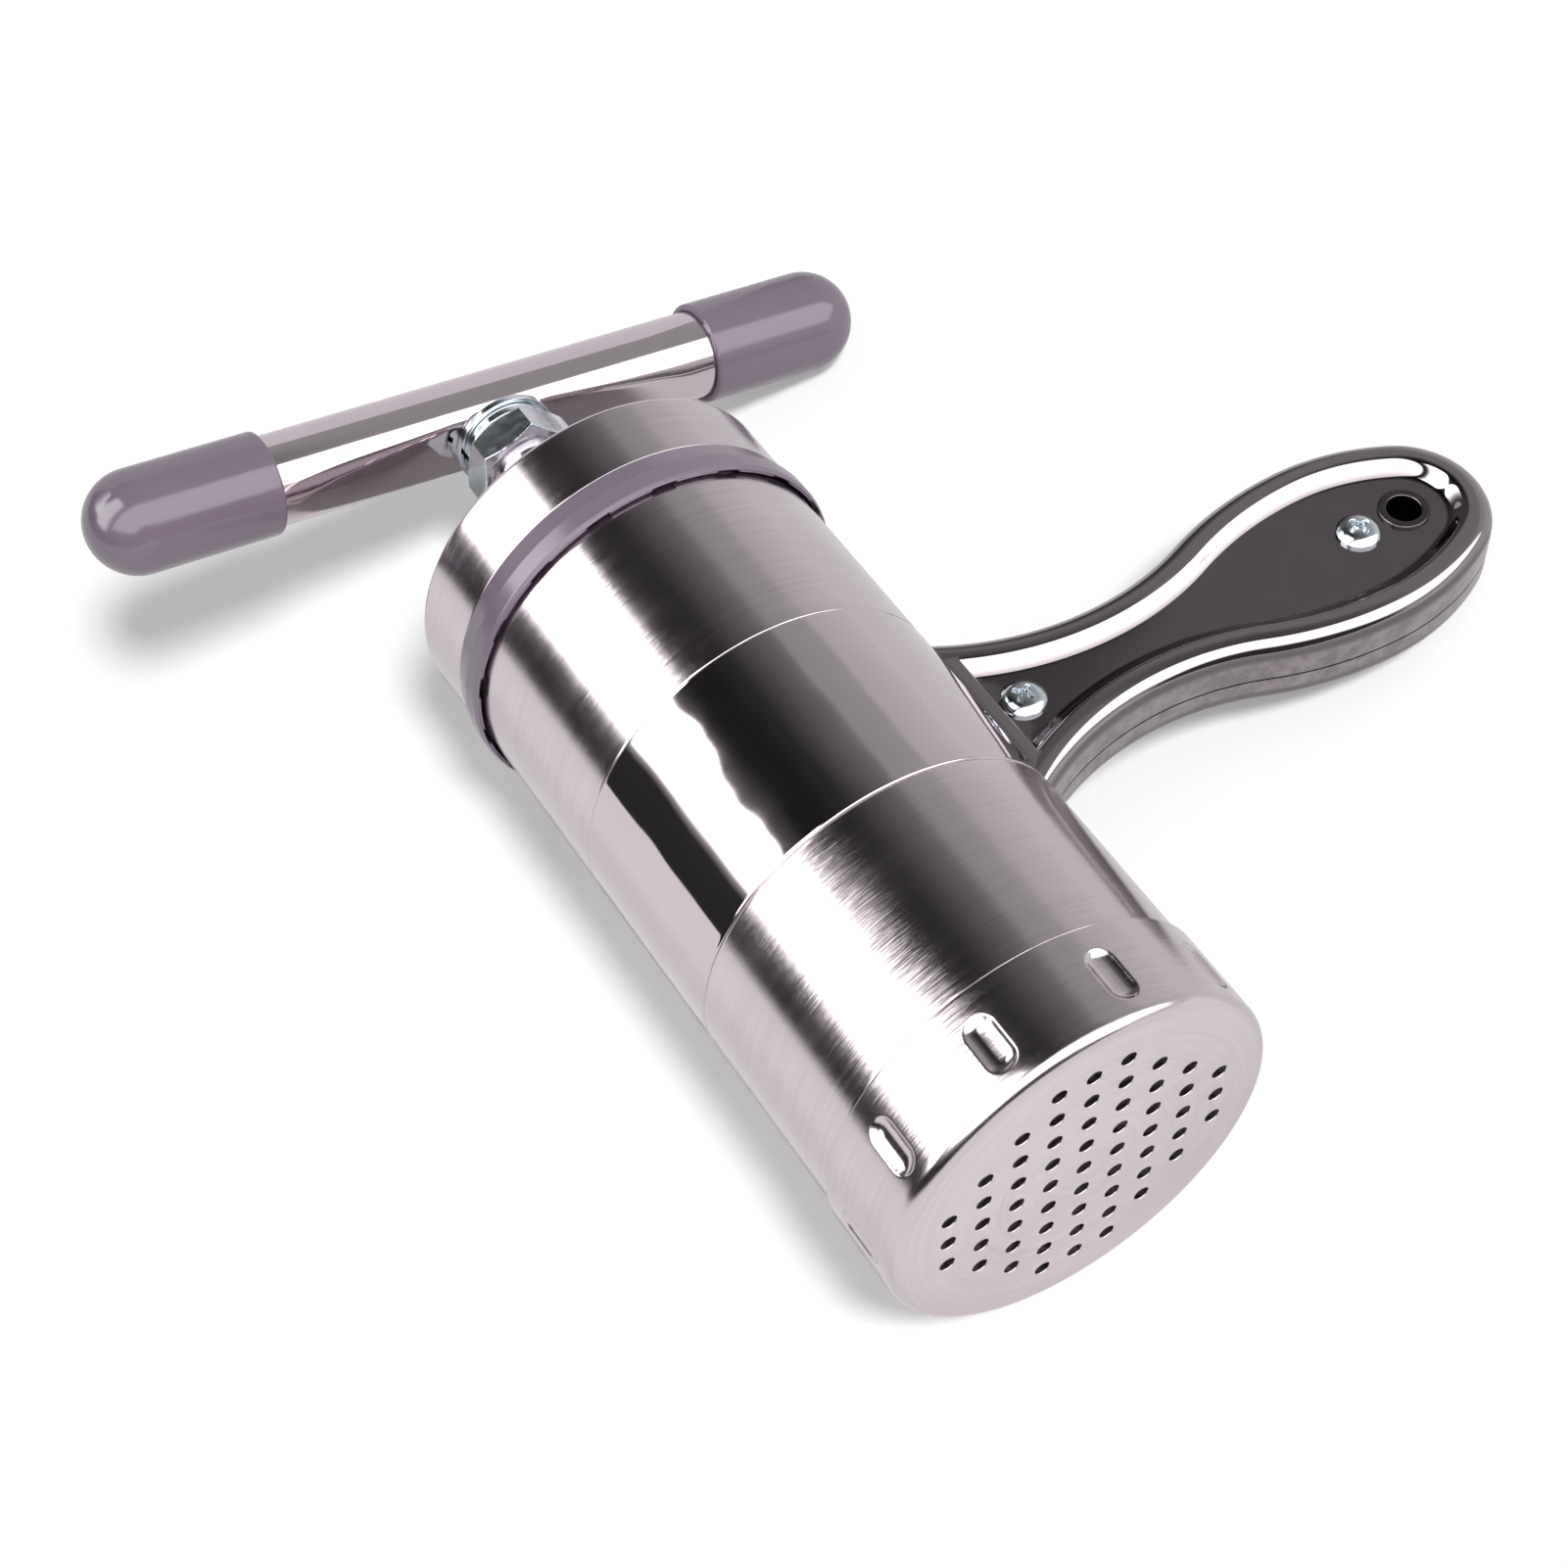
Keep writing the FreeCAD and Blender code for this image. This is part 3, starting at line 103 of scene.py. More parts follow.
def rounded(corners, steps=6, margin=0.25):
    """A closed outline from rows of radius, height and round. Each corner becomes an arc tangent to
    its two sides, with a point on each side close by, so that flat stretches stay flat."""
    corners = np.array(corners, float)
    at = corners[:, :2]
    size = corners[:, 2:]
    back = np.roll(at, 1, 0) - at
    ahead = np.roll(at, -1, 0) - at
    back_side = np.linalg.norm(back, axis=1, keepdims=True)
    ahead_side = np.linalg.norm(ahead, axis=1, keepdims=True)
    back /= back_side
    ahead /= ahead_side
    half = np.arccos((back * ahead).sum(1, keepdims=True)) / 2
    reach = size / np.tan(half)
    inward = (back + ahead) / np.linalg.norm(back + ahead, axis=1, keepdims=True)
    centre = at + inward * size / np.sin(half)
    start = back / np.tan(half) - inward / np.sin(half)
    end = ahead / np.tan(half) - inward / np.sin(half)
    sweep = (math.pi - 2 * half)[:, None]
    share = np.linspace(0, 1, steps + 1)[None, :, None]
    turned_by = np.sin((1 - share) * sweep) * start[:, None] + np.sin(share * sweep) * end[:, None]
    arc = centre[:, None] + size[:, None] * turned_by / np.sin(sweep)
    free_back = np.minimum(margin, (back_side - reach - np.roll(reach, 1, 0)) / 4)
    free_ahead = np.minimum(margin, (ahead_side - reach - np.roll(reach, -1, 0)) / 4)
    before = at + back * (reach + free_back)
    after = at + ahead * (reach + free_ahead)
    return np.concatenate([before[:, None], arc, after[:, None]], 1).reshape(-1, 2)


def turned(outline, turn=0.0, steps=TURN_STEPS):
    """A surface of revolution: the outline's radius times the cosine and sine of each angle."""
    angle = np.linspace(0, 2 * math.pi, steps, endpoint=False)
    radius, height = outline[:, :1], outline[:, 1:]
    points = placed(radius * np.cos(angle), height, radius * np.sin(angle), turn)
    return patch(points, rows_closed=True, columns_closed=True)


def tube_outline(inside, outside, low, high, edge):
    """The section of a short tube with its four edges broken."""
    return rounded([(inside, low, edge), (outside, low, edge), (outside, high, edge), (inside, high, edge)])


def piece(name, patches, body, material, nodes, crease=32.0):
    """One mesh of several patches, welded where they meet and with its faces outwards."""
    starts = np.cumsum([0] + [len(points) for points, faces in patches])
    points = np.concatenate([points for points, faces in patches])
    faces = []
    for start, (own_points, own_faces) in zip(starts, patches):
        faces += (np.asarray(own_faces) + start).tolist()
    mesh = bpy.data.meshes.new(name)
    mesh.from_pydata(points, [], faces)
    work = bmesh.new()
    work.from_mesh(mesh)
    bmesh.ops.remove_doubles(work, verts=work.verts, dist=WELD)
    bmesh.ops.recalc_face_normals(work, faces=work.faces)
    work.to_mesh(mesh)
    work.free()
    mesh.shade_smooth()
    mesh.set_sharp_from_angle(angle=math.radians(crease))
    mesh.materials.append(material)
    made = bpy.data.objects.new(name, mesh)
    bpy.context.scene.collection.objects.link(made)
    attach(made, body)
    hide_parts(*nodes)
    return made


class Value:
    """A number carried by a socket; arithmetic on it adds Math nodes to its recipe."""

    def __init__(self, recipe, socket):
        self.recipe = recipe
        self.socket = socket

    def maths(self, operation, *values):
        return self.recipe.node("ShaderNodeMath", {"operation": operation}, dict(enumerate(values)))

    def __add__(self, other):
        return self.maths("ADD", self, other)

    def __sub__(self, other):
        return self.maths("SUBTRACT", self, other)

    def __rsub__(self, other):
        return self.maths("SUBTRACT", other, self)

    def __mul__(self, other):
        return self.maths("MULTIPLY", self, other)

    __radd__ = __add__
    __rmul__ = __mul__

    def step(self, low, high):
        """A smooth step from 0 at low to 1 at high."""
        return self.recipe.node(
            "ShaderNodeMapRange", {"interpolation_type": "SMOOTHSTEP"}, {0: self, 1: low, 2: high}
        )


class Recipe:
    """The nodes of one material or of the world."""

    def __init__(self, owner):
        owner.use_nodes = True
        self.tree = owner.node_tree
        self.tree.nodes.clear()

    def node(self, kind, settings, inputs, output=0):
        """A node of that kind, its settings made first, then its sockets' values or links."""
        made = self.tree.nodes.new(kind)
        for name, setting in settings.items():
            if name == "stops":
                for spare in range(len(setting) - 2):
                    made.color_ramp.elements.new(0.5)
                for element, (position, colour) in zip(made.color_ramp.elements, setting):
                    element.position = position
                    element.color = (*colour, 1.0)
            else:
                setattr(made, name, setting)
        for key, value in inputs.items():
            if isinstance(value, Value):
                self.tree.links.new(value.socket, made.inputs[key])
            else:
                made.inputs[key].default_value = value
        return Value(self, made.outputs[output]) if made.outputs else None

    def whole(self):
        """The object's own coordinates."""
        return self.node("ShaderNodeTexCoord", {}, {}, "Object")

    def place(self):
        """The object's own coordinates as three numbers."""
        whole = self.whole()
        return [self.node("ShaderNodeSeparateXYZ", {}, {0: whole}, axis) for axis in "XYZ"]

    def along(self, whole, direction):
        """How far a place lies along a direction."""
        return self.node(
            "ShaderNodeVectorMath", {"operation": "DOT_PRODUCT"}, {0: whole, 1: tuple(direction)}, "Value"
        )

    def noise(self, x, y, z, detail=2.0, roughness=0.5):
        """Noise whose grain is one unit of the three numbers."""
        vector = self.node("ShaderNodeCombineXYZ", {}, {0: x, 1: y, 2: z})
        return self.node(
            "ShaderNodeTexNoise", {},
            {"Vector": vector, "Scale": 1.0, "Detail": detail, "Roughness": roughness},
        )

    def blend(self, share, first, second):
        """A colour between two others."""
        return self.node("ShaderNodeMix", {"data_type": "RGBA"}, {0: share, 6: first, 7: second}, 2)

    def bump(self, height, distance):
        """The normal of a surface raised by height times distance."""
        return self.node("ShaderNodeBump", {}, {"Strength": 1.0, "Distance": distance, "Height": height})

    def surface(self, **inputs):
        """The principled shader, sent to the output."""
        made = self.node("ShaderNodeBsdfPrincipled", {}, {k.replace("_", " "): v for k, v in inputs.items()})
        self.node("ShaderNodeOutputMaterial", {}, {"Surface": made})


STEEL = (0.6, 0.535, 0.565)
BRUSH_LINE = 0.00026
BRUSH_STREAK = 0.0007
BRUSH_RUN = 0.012
CLOUDS_ROUND, CLOUDS_ALONG = 60, 110
STREAK_SHARE = 0.7
STEEL_DARK, STEEL_LIGHT = 0.82, 1.16
STREAK_GLOSS, CLOUD_GLOSS = 0.08, 0.06


def shade(colour, share):
    """A colour made lighter or darker by a share, with full alpha."""
    return tuple(min(1.0, part * share) for part in colour) + (1.0,)


def brushed_steel(name, colour, roughness, depth, run=BRUSH_RUN):
    """Steel brushed round the barrel's axis: noise drawn out round it gives fine lines, and broader
    streaks and clouds vary the colour and the roughness. On end faces the lines are rings."""
    material = bpy.data.materials.new(name)
    recipe = Recipe(material)
    x, y, z = recipe.place()
    radius = recipe.node("ShaderNodeMath", {"operation": "SQRT"}, {0: x * x + z * z})
    across = y + radius
    lines = recipe.noise(x * (1 / run), across * (1 / BRUSH_LINE), z * (1 / run), 3.0, 0.7)
    streaks = recipe.noise(x * (0.5 / run), across * (1 / BRUSH_STREAK), z * (0.5 / run), 3.0)
    clouds = recipe.noise(x * CLOUDS_ROUND, across * CLOUDS_ALONG, z * CLOUDS_ROUND)
    share = streaks * STREAK_SHARE + clouds * (1 - STREAK_SHARE)
    least = roughness - (STREAK_GLOSS + CLOUD_GLOSS) / 2
    recipe.surface(
        Base_Color=recipe.blend(share, shade(colour, STEEL_DARK), shade(colour, STEEL_LIGHT)),
        Metallic=1.0,
        Roughness=streaks * STREAK_GLOSS + clouds * CLOUD_GLOSS + least,
        Normal=recipe.bump(lines, depth),
    )
    return material


TUBE_EDGE = 0.15
RIDGE_EDGE = 0.2
RIDGE_COUNT = 3
RIDGE_PITCH = 3.5
RIDGE_HEIGHT = 0.5
bore, ridge_crest, tube_low, tube_high = measured("barrel_tube")
tube_radius = ridge_crest - RIDGE_HEIGHT
tube_corners = [
    (bore, tube_high, TUBE_EDGE), (bore, tube_low, TUBE_EDGE), (tube_radius, tube_low, TUBE_EDGE),
]
for ridge in range(RIDGE_COUNT):
    foot = tube_low + RIDGE_PITCH * (ridge + 0.5)
    tube_corners += [
        (tube_radius, foot, RIDGE_EDGE),
        (ridge_crest, foot + RIDGE_HEIGHT, RIDGE_EDGE),
        (ridge_crest, foot + 2 * RIDGE_HEIGHT, RIDGE_EDGE),
        (tube_radius, foot + 3 * RIDGE_HEIGHT, RIDGE_EDGE),
    ]
tube_corners.append((tube_radius, tube_high, TUBE_EDGE))
drawn_steel = brushed_steel("drawn_steel", STEEL, 0.26, 0.000006)
piece(
    "barrel_tube_surface", [turned(rounded(tube_corners))],
    "barrel", drawn_steel, ["barrel_tube"],
)

# Sleeves: two brushed tubes and, between them, a polished band that carries the handle. They are
# rolled stainless sheet, slid over the barrel tube end to end, with their edges slightly rolled in.
SLEEVE_EDGE = 0.2
JOINT_EDGE = 0.45
HIDDEN_EDGE = 0.1
HAIRS_ROUND, HAIRS_ALONG = 900, 2500
POLISH_PATCHES = 90
HAIR_GLOSS, PATCH_GLOSS = 0.05, 0.03
brushed = brushed_steel("brushed_steel", STEEL, 0.15, 0.000015)


def polished_steel(name, colour, roughness, wave_height, wave_length):
    """Mirror-finished steel: long shallow waves from the pressing bend what it reflects, and fine
    hairlines in every direction dull it a little in patches."""
    material = bpy.data.materials.new(name)
    recipe = Recipe(material)
    x, y, z = recipe.place()
    waves = recipe.noise(x * (1 / wave_length), y * (1 / wave_length), z * (1 / wave_length), 1.0)
    hairs = recipe.noise(x * HAIRS_ROUND, y * HAIRS_ALONG, z * HAIRS_ROUND, 4.0, 0.6)
    patches = recipe.noise(x * POLISH_PATCHES, y * POLISH_PATCHES, z * POLISH_PATCHES)
    recipe.surface(
        Base_Color=recipe.blend(patches, shade(colour, 0.95), shade(colour, 1.03)),
        Metallic=1.0,
        Roughness=hairs * HAIR_GLOSS + patches * PATCH_GLOSS + (roughness - PATCH_GLOSS),
        Normal=recipe.bump(waves, wave_height),
    )
    return material


polished = polished_steel("polished_steel", STEEL, 0.045, 0.0003, 0.018)
for sleeve, finish, slot, low_edge, high_edge in (
    ("lower_sleeve", brushed, "brushed_steel", SLEEVE_EDGE, JOINT_EDGE),
    ("handle_band", polished, "polished_steel", JOINT_EDGE, SLEEVE_EDGE),
    ("upper_sleeve", brushed, "brushed_steel", SLEEVE_EDGE, SLEEVE_EDGE),
):
    inside, barrel_radius, low, high = measured(sleeve)
    outline = rounded([
        (inside, low, HIDDEN_EDGE), (barrel_radius, low, low_edge),
        (barrel_radius, high, high_edge), (inside, high, HIDDEN_EDGE),
    ])
    piece(f"{sleeve}_surface", [turned(outline)], "barrel", finish, [sleeve])

# Handle: two pressed shells of polished sheet, closed round a flat tang and held by two screws. The
# front has a rounded rim round a sunken panel, the back is a plain tray, and a thin seam runs
# between them. The outline is a chain of arcs: waist, belly, shoulder and tip.
HANDLE_AXIS = 67.9
HANDLE_TIP = 121.3
WAIST_PLACE, WAIST_WIDTH = 55.0, 9.3
BELLY_PLACE, BELLY_WIDTH = 95.0, 17.0
BELLY_RADIUS, SHOULDER_RADIUS = 60.0, 40.0
RIM_HEIGHT, PANEL_HEIGHT, BACK_DEPTH = 7.5, 5.5, 6.0
RIM_ROUND, RIM_WIDTH, RIM_CREST, RIM_SLOPE = 3.0, 4.6, 0.8, 3.4
ROOT_TAPER = 0.4
SHELL_WALL, HALF_SEAM, ROOT_LIP = 0.8, 0.15, 32.0
SEAT_CLEARANCE = 0.05
WALL_EDGE = 0.2
BACK_MARGIN = 0.3
RIM_STEPS = 12
SLOPE_ROWS = 25
belly_drop = BELLY_RADIUS - BELLY_WIDTH
shoulder_drop = SHOULDER_RADIUS - BELLY_WIDTH
waist_run = BELLY_PLACE - WAIST_PLACE
waist_rise = WAIST_WIDTH + belly_drop
waist_radius = (waist_run**2 + waist_rise**2 - BELLY_RADIUS**2) / (2 * (BELLY_RADIUS - waist_rise))
tip_run = HANDLE_TIP - BELLY_PLACE
tip_radius = (SHOULDER_RADIUS**2 - shoulder_drop**2 - tip_run**2) / (2 * (SHOULDER_RADIUS - tip_run))
tip_place = HANDLE_TIP - tip_radius
waist_centre = WAIST_WIDTH + waist_radius
waist_end = math.atan2(-belly_drop - waist_centre, waist_run)
shoulder_end = math.atan2(shoulder_drop, tip_place - BELLY_PLACE)


def handle_loops(inset, height, root):
    """Rows of closed loops inside the handle's outline: each arc keeps its centre while its radius
    changes by the inset, the far half mirrors the near one, and a straight run closes the root."""
    inset, height, root = (np.asarray(part, float)[:, None] for part in (inset, height, root))

    def arc(centre_x, centre_y, radius, first, last, count):
        share = np.linspace(0, 1, count, endpoint=False)
        angle = first + (last - first) * share
        return centre_x + radius * np.cos(angle), centre_y + radius * np.sin(angle)

    waist = waist_radius + inset
    waist_start = -np.arccos((root - WAIST_PLACE) / waist)
    quarter = math.pi / 2
    arcs = [
        arc(WAIST_PLACE, waist_centre, waist, waist_start, waist_end, 56),
        arc(BELLY_PLACE, -belly_drop, BELLY_RADIUS - inset, waist_end + math.pi, quarter, 26),
        arc(BELLY_PLACE, -shoulder_drop, SHOULDER_RADIUS - inset, quarter, shoulder_end, 20),
        arc(tip_place, 0.0, tip_radius - inset, shoulder_end, 0.0, 24),
    ]
    x = np.concatenate([part[0] for part in arcs], 1)
    y = np.concatenate([part[1] for part in arcs], 1)
    tip_x = tip_place + tip_radius - inset
    close = np.linspace(-1, 1, 22)[1:-1] * y[:, :1]
    x = np.concatenate([x, tip_x, x[:, ::-1], root + 0 * close], 1)
    y = np.concatenate([y, 0 * tip_x, -y[:, ::-1], close], 1)
    return x, HANDLE_AXIS + y, height + 0 * x


def quarter_round(centre_inset, centre_height, size, first, last, steps=8):
    """Insets and heights of a round between two angles, measured from straight inwards."""
    angle = np.radians(np.linspace(first, last, steps + 1))
    return np.stack([centre_inset + size * np.cos(angle), centre_height + size * np.sin(angle)], 1)


def flat(x, y, height, holes):
    """Flat triangles inside a loop and outside its holes, made by a constrained triangulation. The
    loop goes in anticlockwise, by the sign of its area."""
    rim = np.stack([x, y], 1)
    area = np.sum(x * np.roll(y, -1) - y * np.roll(x, -1))
    rims = [rim if area > 0 else rim[::-1]] + holes
    starts = np.cumsum([0] + [len(rim) for rim in rims])
    places = np.concatenate(rims)
    loops = [list(range(start, start + len(rim))) for start, rim in zip(starts, rims)]
    found = geometry.delaunay_2d_cdt([Vector(place) for place in places.tolist()], [], loops, 1, 1e-5)
    corners = np.array([tuple(corner) for corner in found[0]])
    faces = [face for face, sources in zip(found[2], found[5]) if list(sources) == [0]]
    return corners[:, 0], corners[:, 1], height + 0 * corners[:, 0], faces


def ring(x, y, radius, steps=48):
    """A circle's places."""
    angle = np.linspace(0, 2 * math.pi, steps, endpoint=False)
    return np.stack([x + radius * np.cos(angle), y + radius * np.sin(angle)], 1)


def root_at(height, clearance=SEAT_CLEARANCE):
    """Where a level of the handle meets the barrel's round."""
    return np.sqrt((barrel_radius + clearance) ** 2 - np.asarray(height, float) ** 2)


def shell_patches(outer, inner, outer_root, inner_root, face_height, floor_height, holes):
    """A pressed shell: outer and inner rows of loops, joined along the seam, each closed by a flat
    face, with the walls of its holes between the two faces."""
    insets = np.concatenate([inner[::-1], outer])
    roots = np.concatenate([inner_root[::-1], outer_root])
    x, y, z = handle_loops(insets[:, 0], insets[:, 1], roots)
    patches = [patch(placed(x, y, z), columns_closed=True)]
    for row, height in ((-1, face_height), (0, floor_height)):
        face = flat(x[row], y[row], height, holes)
        patches.append((placed(*face[:3]).reshape(-1, 3), face[3]))
    for hole in holes:
        level = np.array([face_height, floor_height])[:, None]
        patches.append(patch(placed(hole[:, 0], hole[:, 1], level), columns_closed=True))
    return patches


SCREW_PLACES = (36.5, 98.8)
SCREW_HOLE = 1.6
EYELET_PLACE = 107.6
EYELET_HOLE = 3.2
screw_holes = [ring(where, HANDLE_AXIS, SCREW_HOLE) for where in SCREW_PLACES]
eyelet_hole = [ring(EYELET_PLACE, HANDLE_AXIS, EYELET_HOLE, 64)]
shoulder = RIM_HEIGHT - RIM_ROUND
front_side = np.array([[0, HALF_SEAM], [0, HALF_SEAM + WALL_EDGE], [0, shoulder - WALL_EDGE]])
front_rim = quarter_round(RIM_ROUND, shoulder, RIM_ROUND, 180, 90, RIM_STEPS)
slope_share = np.linspace(0, 1, SLOPE_ROWS)
slope_drop = (RIM_HEIGHT - PANEL_HEIGHT) * (1 - np.cos(math.pi * slope_share)) / 2
rim_part = np.stack([RIM_ROUND + RIM_CREST + RIM_SLOPE * slope_share, RIM_HEIGHT - slope_drop], 1)
outer_part = np.concatenate([front_side, front_rim])
front_outer = np.concatenate([outer_part, rim_part])
rim_root = ROOT_LIP + ROOT_TAPER * (rim_part[:, 0] - RIM_WIDTH)
front_outer_root = np.concatenate([root_at(outer_part[:, 1]), rim_root])
inner_round = RIM_ROUND - SHELL_WALL
front_inner = np.concatenate([
    [[SHELL_WALL, HALF_SEAM], [SHELL_WALL, shoulder - WALL_EDGE]],
    quarter_round(RIM_ROUND, shoulder, inner_round, 180, 90),
    [[RIM_WIDTH - SHELL_WALL, RIM_HEIGHT - SHELL_WALL], [RIM_WIDTH - SHELL_WALL, PANEL_HEIGHT - SHELL_WALL]],
    [[RIM_WIDTH, PANEL_HEIGHT - SHELL_WALL]],
])
front_inner_root = root_at(front_inner[:, 1]) + SHELL_WALL
front_patches = shell_patches(
    front_outer, front_inner, front_outer_root, front_inner_root,
    PANEL_HEIGHT, PANEL_HEIGHT - SHELL_WALL, screw_holes + eyelet_hole,
)


# Painted reflection: the shell's and the panel's tones darken the steel's colour to stand for the dark room it
# reflects.
SHELL_PAINTED_REFLECTION_TONE = 0.52
PANEL_PAINTED_REFLECTION_TONE = 0.3
WALL_TONE = 0.42
WALL_TOP = (0.0036, 0.0048)
WALL_FOOT = (-0.0034, -0.0022)
CROWN = (0.0056, 0.0062)
WALL_LINES, LINES_ALONG = 9000, 120
WAVES, PATCHES, BLOTS = 55, 140, 260


def handle_steel():
    """The handle's polished steel. Its side walls, by their height over the seam, are left as drawn: duller,
    with fine lines that run along the outline. Above the walls the colour is darkened as a painted dark
    reflection, darkest on the sunken panel and uneven in patches."""
    material = bpy.data.materials.new("handle_steel")
    recipe = Recipe(material)
    whole = recipe.whole()
    out, y, height = (recipe.along(whole, direction) for direction in HANDLE_FRAME)
    wall = (1 - height.step(*WALL_TOP)) * height.step(*WALL_FOOT)
    lines = recipe.noise(out * LINES_ALONG, height * WALL_LINES, y * LINES_ALONG, 3.0, 0.6)
    waves = recipe.noise(out * WAVES, y * WAVES, height * WAVES, 1.0)
    patches = recipe.noise(out * PATCHES, y * PATCHES, height * PATCHES, 3.0)
    raised = lines * wall * 0.05 + waves
    blots = recipe.noise(out * BLOTS, y * BLOTS, height * BLOTS, 4.0, 0.7).step(0.35, 0.65)
    dull = recipe.blend(blots, shade(STEEL, WALL_TONE), shade(STEEL, 1.5 * WALL_TONE))
    # Painted reflection: below the crown the colour falls to the panel's darker tone, and noise patches vary
    # it like reflected blots.
    painted_reflection_share = height.step(*CROWN) + patches * 0.3
    painted_reflection_colour = recipe.blend(painted_reflection_share - 0.15, shade(STEEL, PANEL_PAINTED_REFLECTION_TONE), shade(STEEL, SHELL_PAINTED_REFLECTION_TONE))
    recipe.surface(
        Base_Color=recipe.blend(wall, painted_reflection_colour, dull),
        Metallic=1.0,
        Roughness=wall * 0.2 + patches * 0.03 + 0.03,
        Normal=recipe.bump(raised, 0.00006),
    )
    return material


handle_steel_with_painted_reflection = handle_steel()
piece(
    "handle_front_surface", front_patches, "barrel", handle_steel_with_painted_reflection, ["handle_front_shell"],
)
back_shoulder = -(BACK_DEPTH - RIM_ROUND)
back_outer = np.concatenate([
    [[0, -HALF_SEAM], [0, -HALF_SEAM - WALL_EDGE], [0, back_shoulder + WALL_EDGE]],
    quarter_round(RIM_ROUND, back_shoulder, RIM_ROUND, 180, 270, RIM_STEPS),
    [[RIM_ROUND + BACK_MARGIN, -BACK_DEPTH]],
])
back_inner = np.concatenate([
    [[SHELL_WALL, -HALF_SEAM], [SHELL_WALL, back_shoulder + WALL_EDGE]],
    quarter_round(RIM_ROUND, back_shoulder, inner_round, 180, 270),
    [[RIM_ROUND + BACK_MARGIN, SHELL_WALL - BACK_DEPTH]],
])
back_patches = shell_patches(
    back_outer, back_inner, root_at(back_outer[:, 1]), root_at(back_inner[:, 1]) + SHELL_WALL,
    -BACK_DEPTH, SHELL_WALL - BACK_DEPTH, eyelet_hole,
)
piece("handle_back_surface", back_patches, "barrel", handle_steel_with_painted_reflection, ["handle_back_shell"])

# Hanging eyelet: a thin steel tube through both shells, its ends rolled out into small flanges that
# clamp them together. It lines the hole that the press hangs by.
EYELET_BORE = 2.7
EYELET_WALL = 0.45
EYELET_FLANGE = 0.9
EYELET_LIP = 0.6
FLANGE_EDGE = 0.28
FLANGE_BACK = 0.1
# Painted shade: the eyelet's colour is a small share of the steel's, so that the hanging hole reads dark.
EYELET_PAINTED_SHADE_TONE = 0.16


def turned_on_handle(outline, place, steps=96):
    """A surface of revolution about a line square to the panel."""
    angle = np.linspace(0, 2 * math.pi, steps, endpoint=False)
    radius, height = outline[:, :1], outline[:, 1:]
    points = placed(place + radius * np.cos(angle), HANDLE_AXIS + radius * np.sin(angle), height)
    return patch(points, rows_closed=True, columns_closed=True)


# The eyelet's steel is made nearly black: painted shade for the dark inside of the hanging hole.
eyelet_painted_shade_steel = brushed_steel("eyelet_painted_shade_steel", shade(STEEL, EYELET_PAINTED_SHADE_TONE)[:3], 0.25, 0.000003)
eyelet_low = -(BACK_DEPTH + EYELET_LIP)
eyelet_high = PANEL_HEIGHT + EYELET_LIP
eyelet_outside = EYELET_BORE + EYELET_WALL
flange = eyelet_outside + EYELET_FLANGE
eyelet_outline = rounded([
    (EYELET_BORE, eyelet_low, FLANGE_EDGE), (flange, eyelet_low, FLANGE_EDGE),
    (flange, -BACK_DEPTH, FLANGE_BACK), (eyelet_outside, -BACK_DEPTH, FLANGE_BACK / 2),
    (eyelet_outside, PANEL_HEIGHT, FLANGE_BACK / 2), (flange, PANEL_HEIGHT, FLANGE_BACK),
    (flange, eyelet_high, FLANGE_EDGE), (EYELET_BORE, eyelet_high, FLANGE_EDGE),
], margin=0.05)
piece(
    "hanging_eyelet_surface", [turned_on_handle(eyelet_outline, EYELET_PLACE)],
    "barrel", eyelet_painted_shade_steel, ["hanging_eyelet"],
)

# Handle screws: two zinc-plated pan-head screws with cross recesses, driven through the panel into
# the posts. The recess is pressed, so its walls lean and its edges are soft.
HEAD_RADIUS = 3.5
HEAD_HEIGHT = 1.6
SHANK_RADIUS = 1.5
SHANK_LENGTH = 8.0
CROSS_REACH = 1.9
CROSS_HALF_WIDTH = 0.42
CROSS_DEPTH = 0.95
CROSS_TAPER = 0.55
CROSS_SOFTNESS = 0.22
CROSS_END = 0.5
DOME_DROP, DOME_FALL = 0.62, 0.12
HEAD_GRID = 97
HEAD_EDGE = 0.1
MOTTLE, PITS = 700, 5000
ZINC = (0.6, 0.64, 0.68)


def zinc_plate(name):
    """Bright zinc plate: bluish grey, with the soft mottling and fine pits of a barrel-plated part."""
    material = bpy.data.materials.new(name)
    recipe = Recipe(material)
    x, y, z = recipe.place()
    mottle = recipe.noise(x * MOTTLE, y * MOTTLE, z * MOTTLE, 3.0)
    pits = recipe.noise(x * PITS, y * PITS, z * PITS, 2.0)
    recipe.surface(
        Base_Color=recipe.blend(mottle, shade(ZINC, 0.85), shade(ZINC, 1.15)),
        Metallic=1.0,
        Roughness=mottle * 0.16 + 0.08,
        Normal=recipe.bump(pits * 0.4 + mottle, 0.00001),
    )
    return material


zinc = zinc_plate("zinc_plate")


def disc_grid(count):
    """A square grid bent to a disc: each coordinate times the root of one less half the other's
    square. Its lines stay straight near the middle, where the recess is."""
    line = np.linspace(-1, 1, count)
    u, v = np.meshgrid(line, line)
    return u * np.sqrt(1 - v * v / 2), v * np.sqrt(1 - u * u / 2)


def soft_step(value, low, high):
    """A smooth step from 0 at low to 1 at high."""
    share = np.clip((value - low) / (high - low), 0, 1)
    return share * share * (3 - 2 * share)


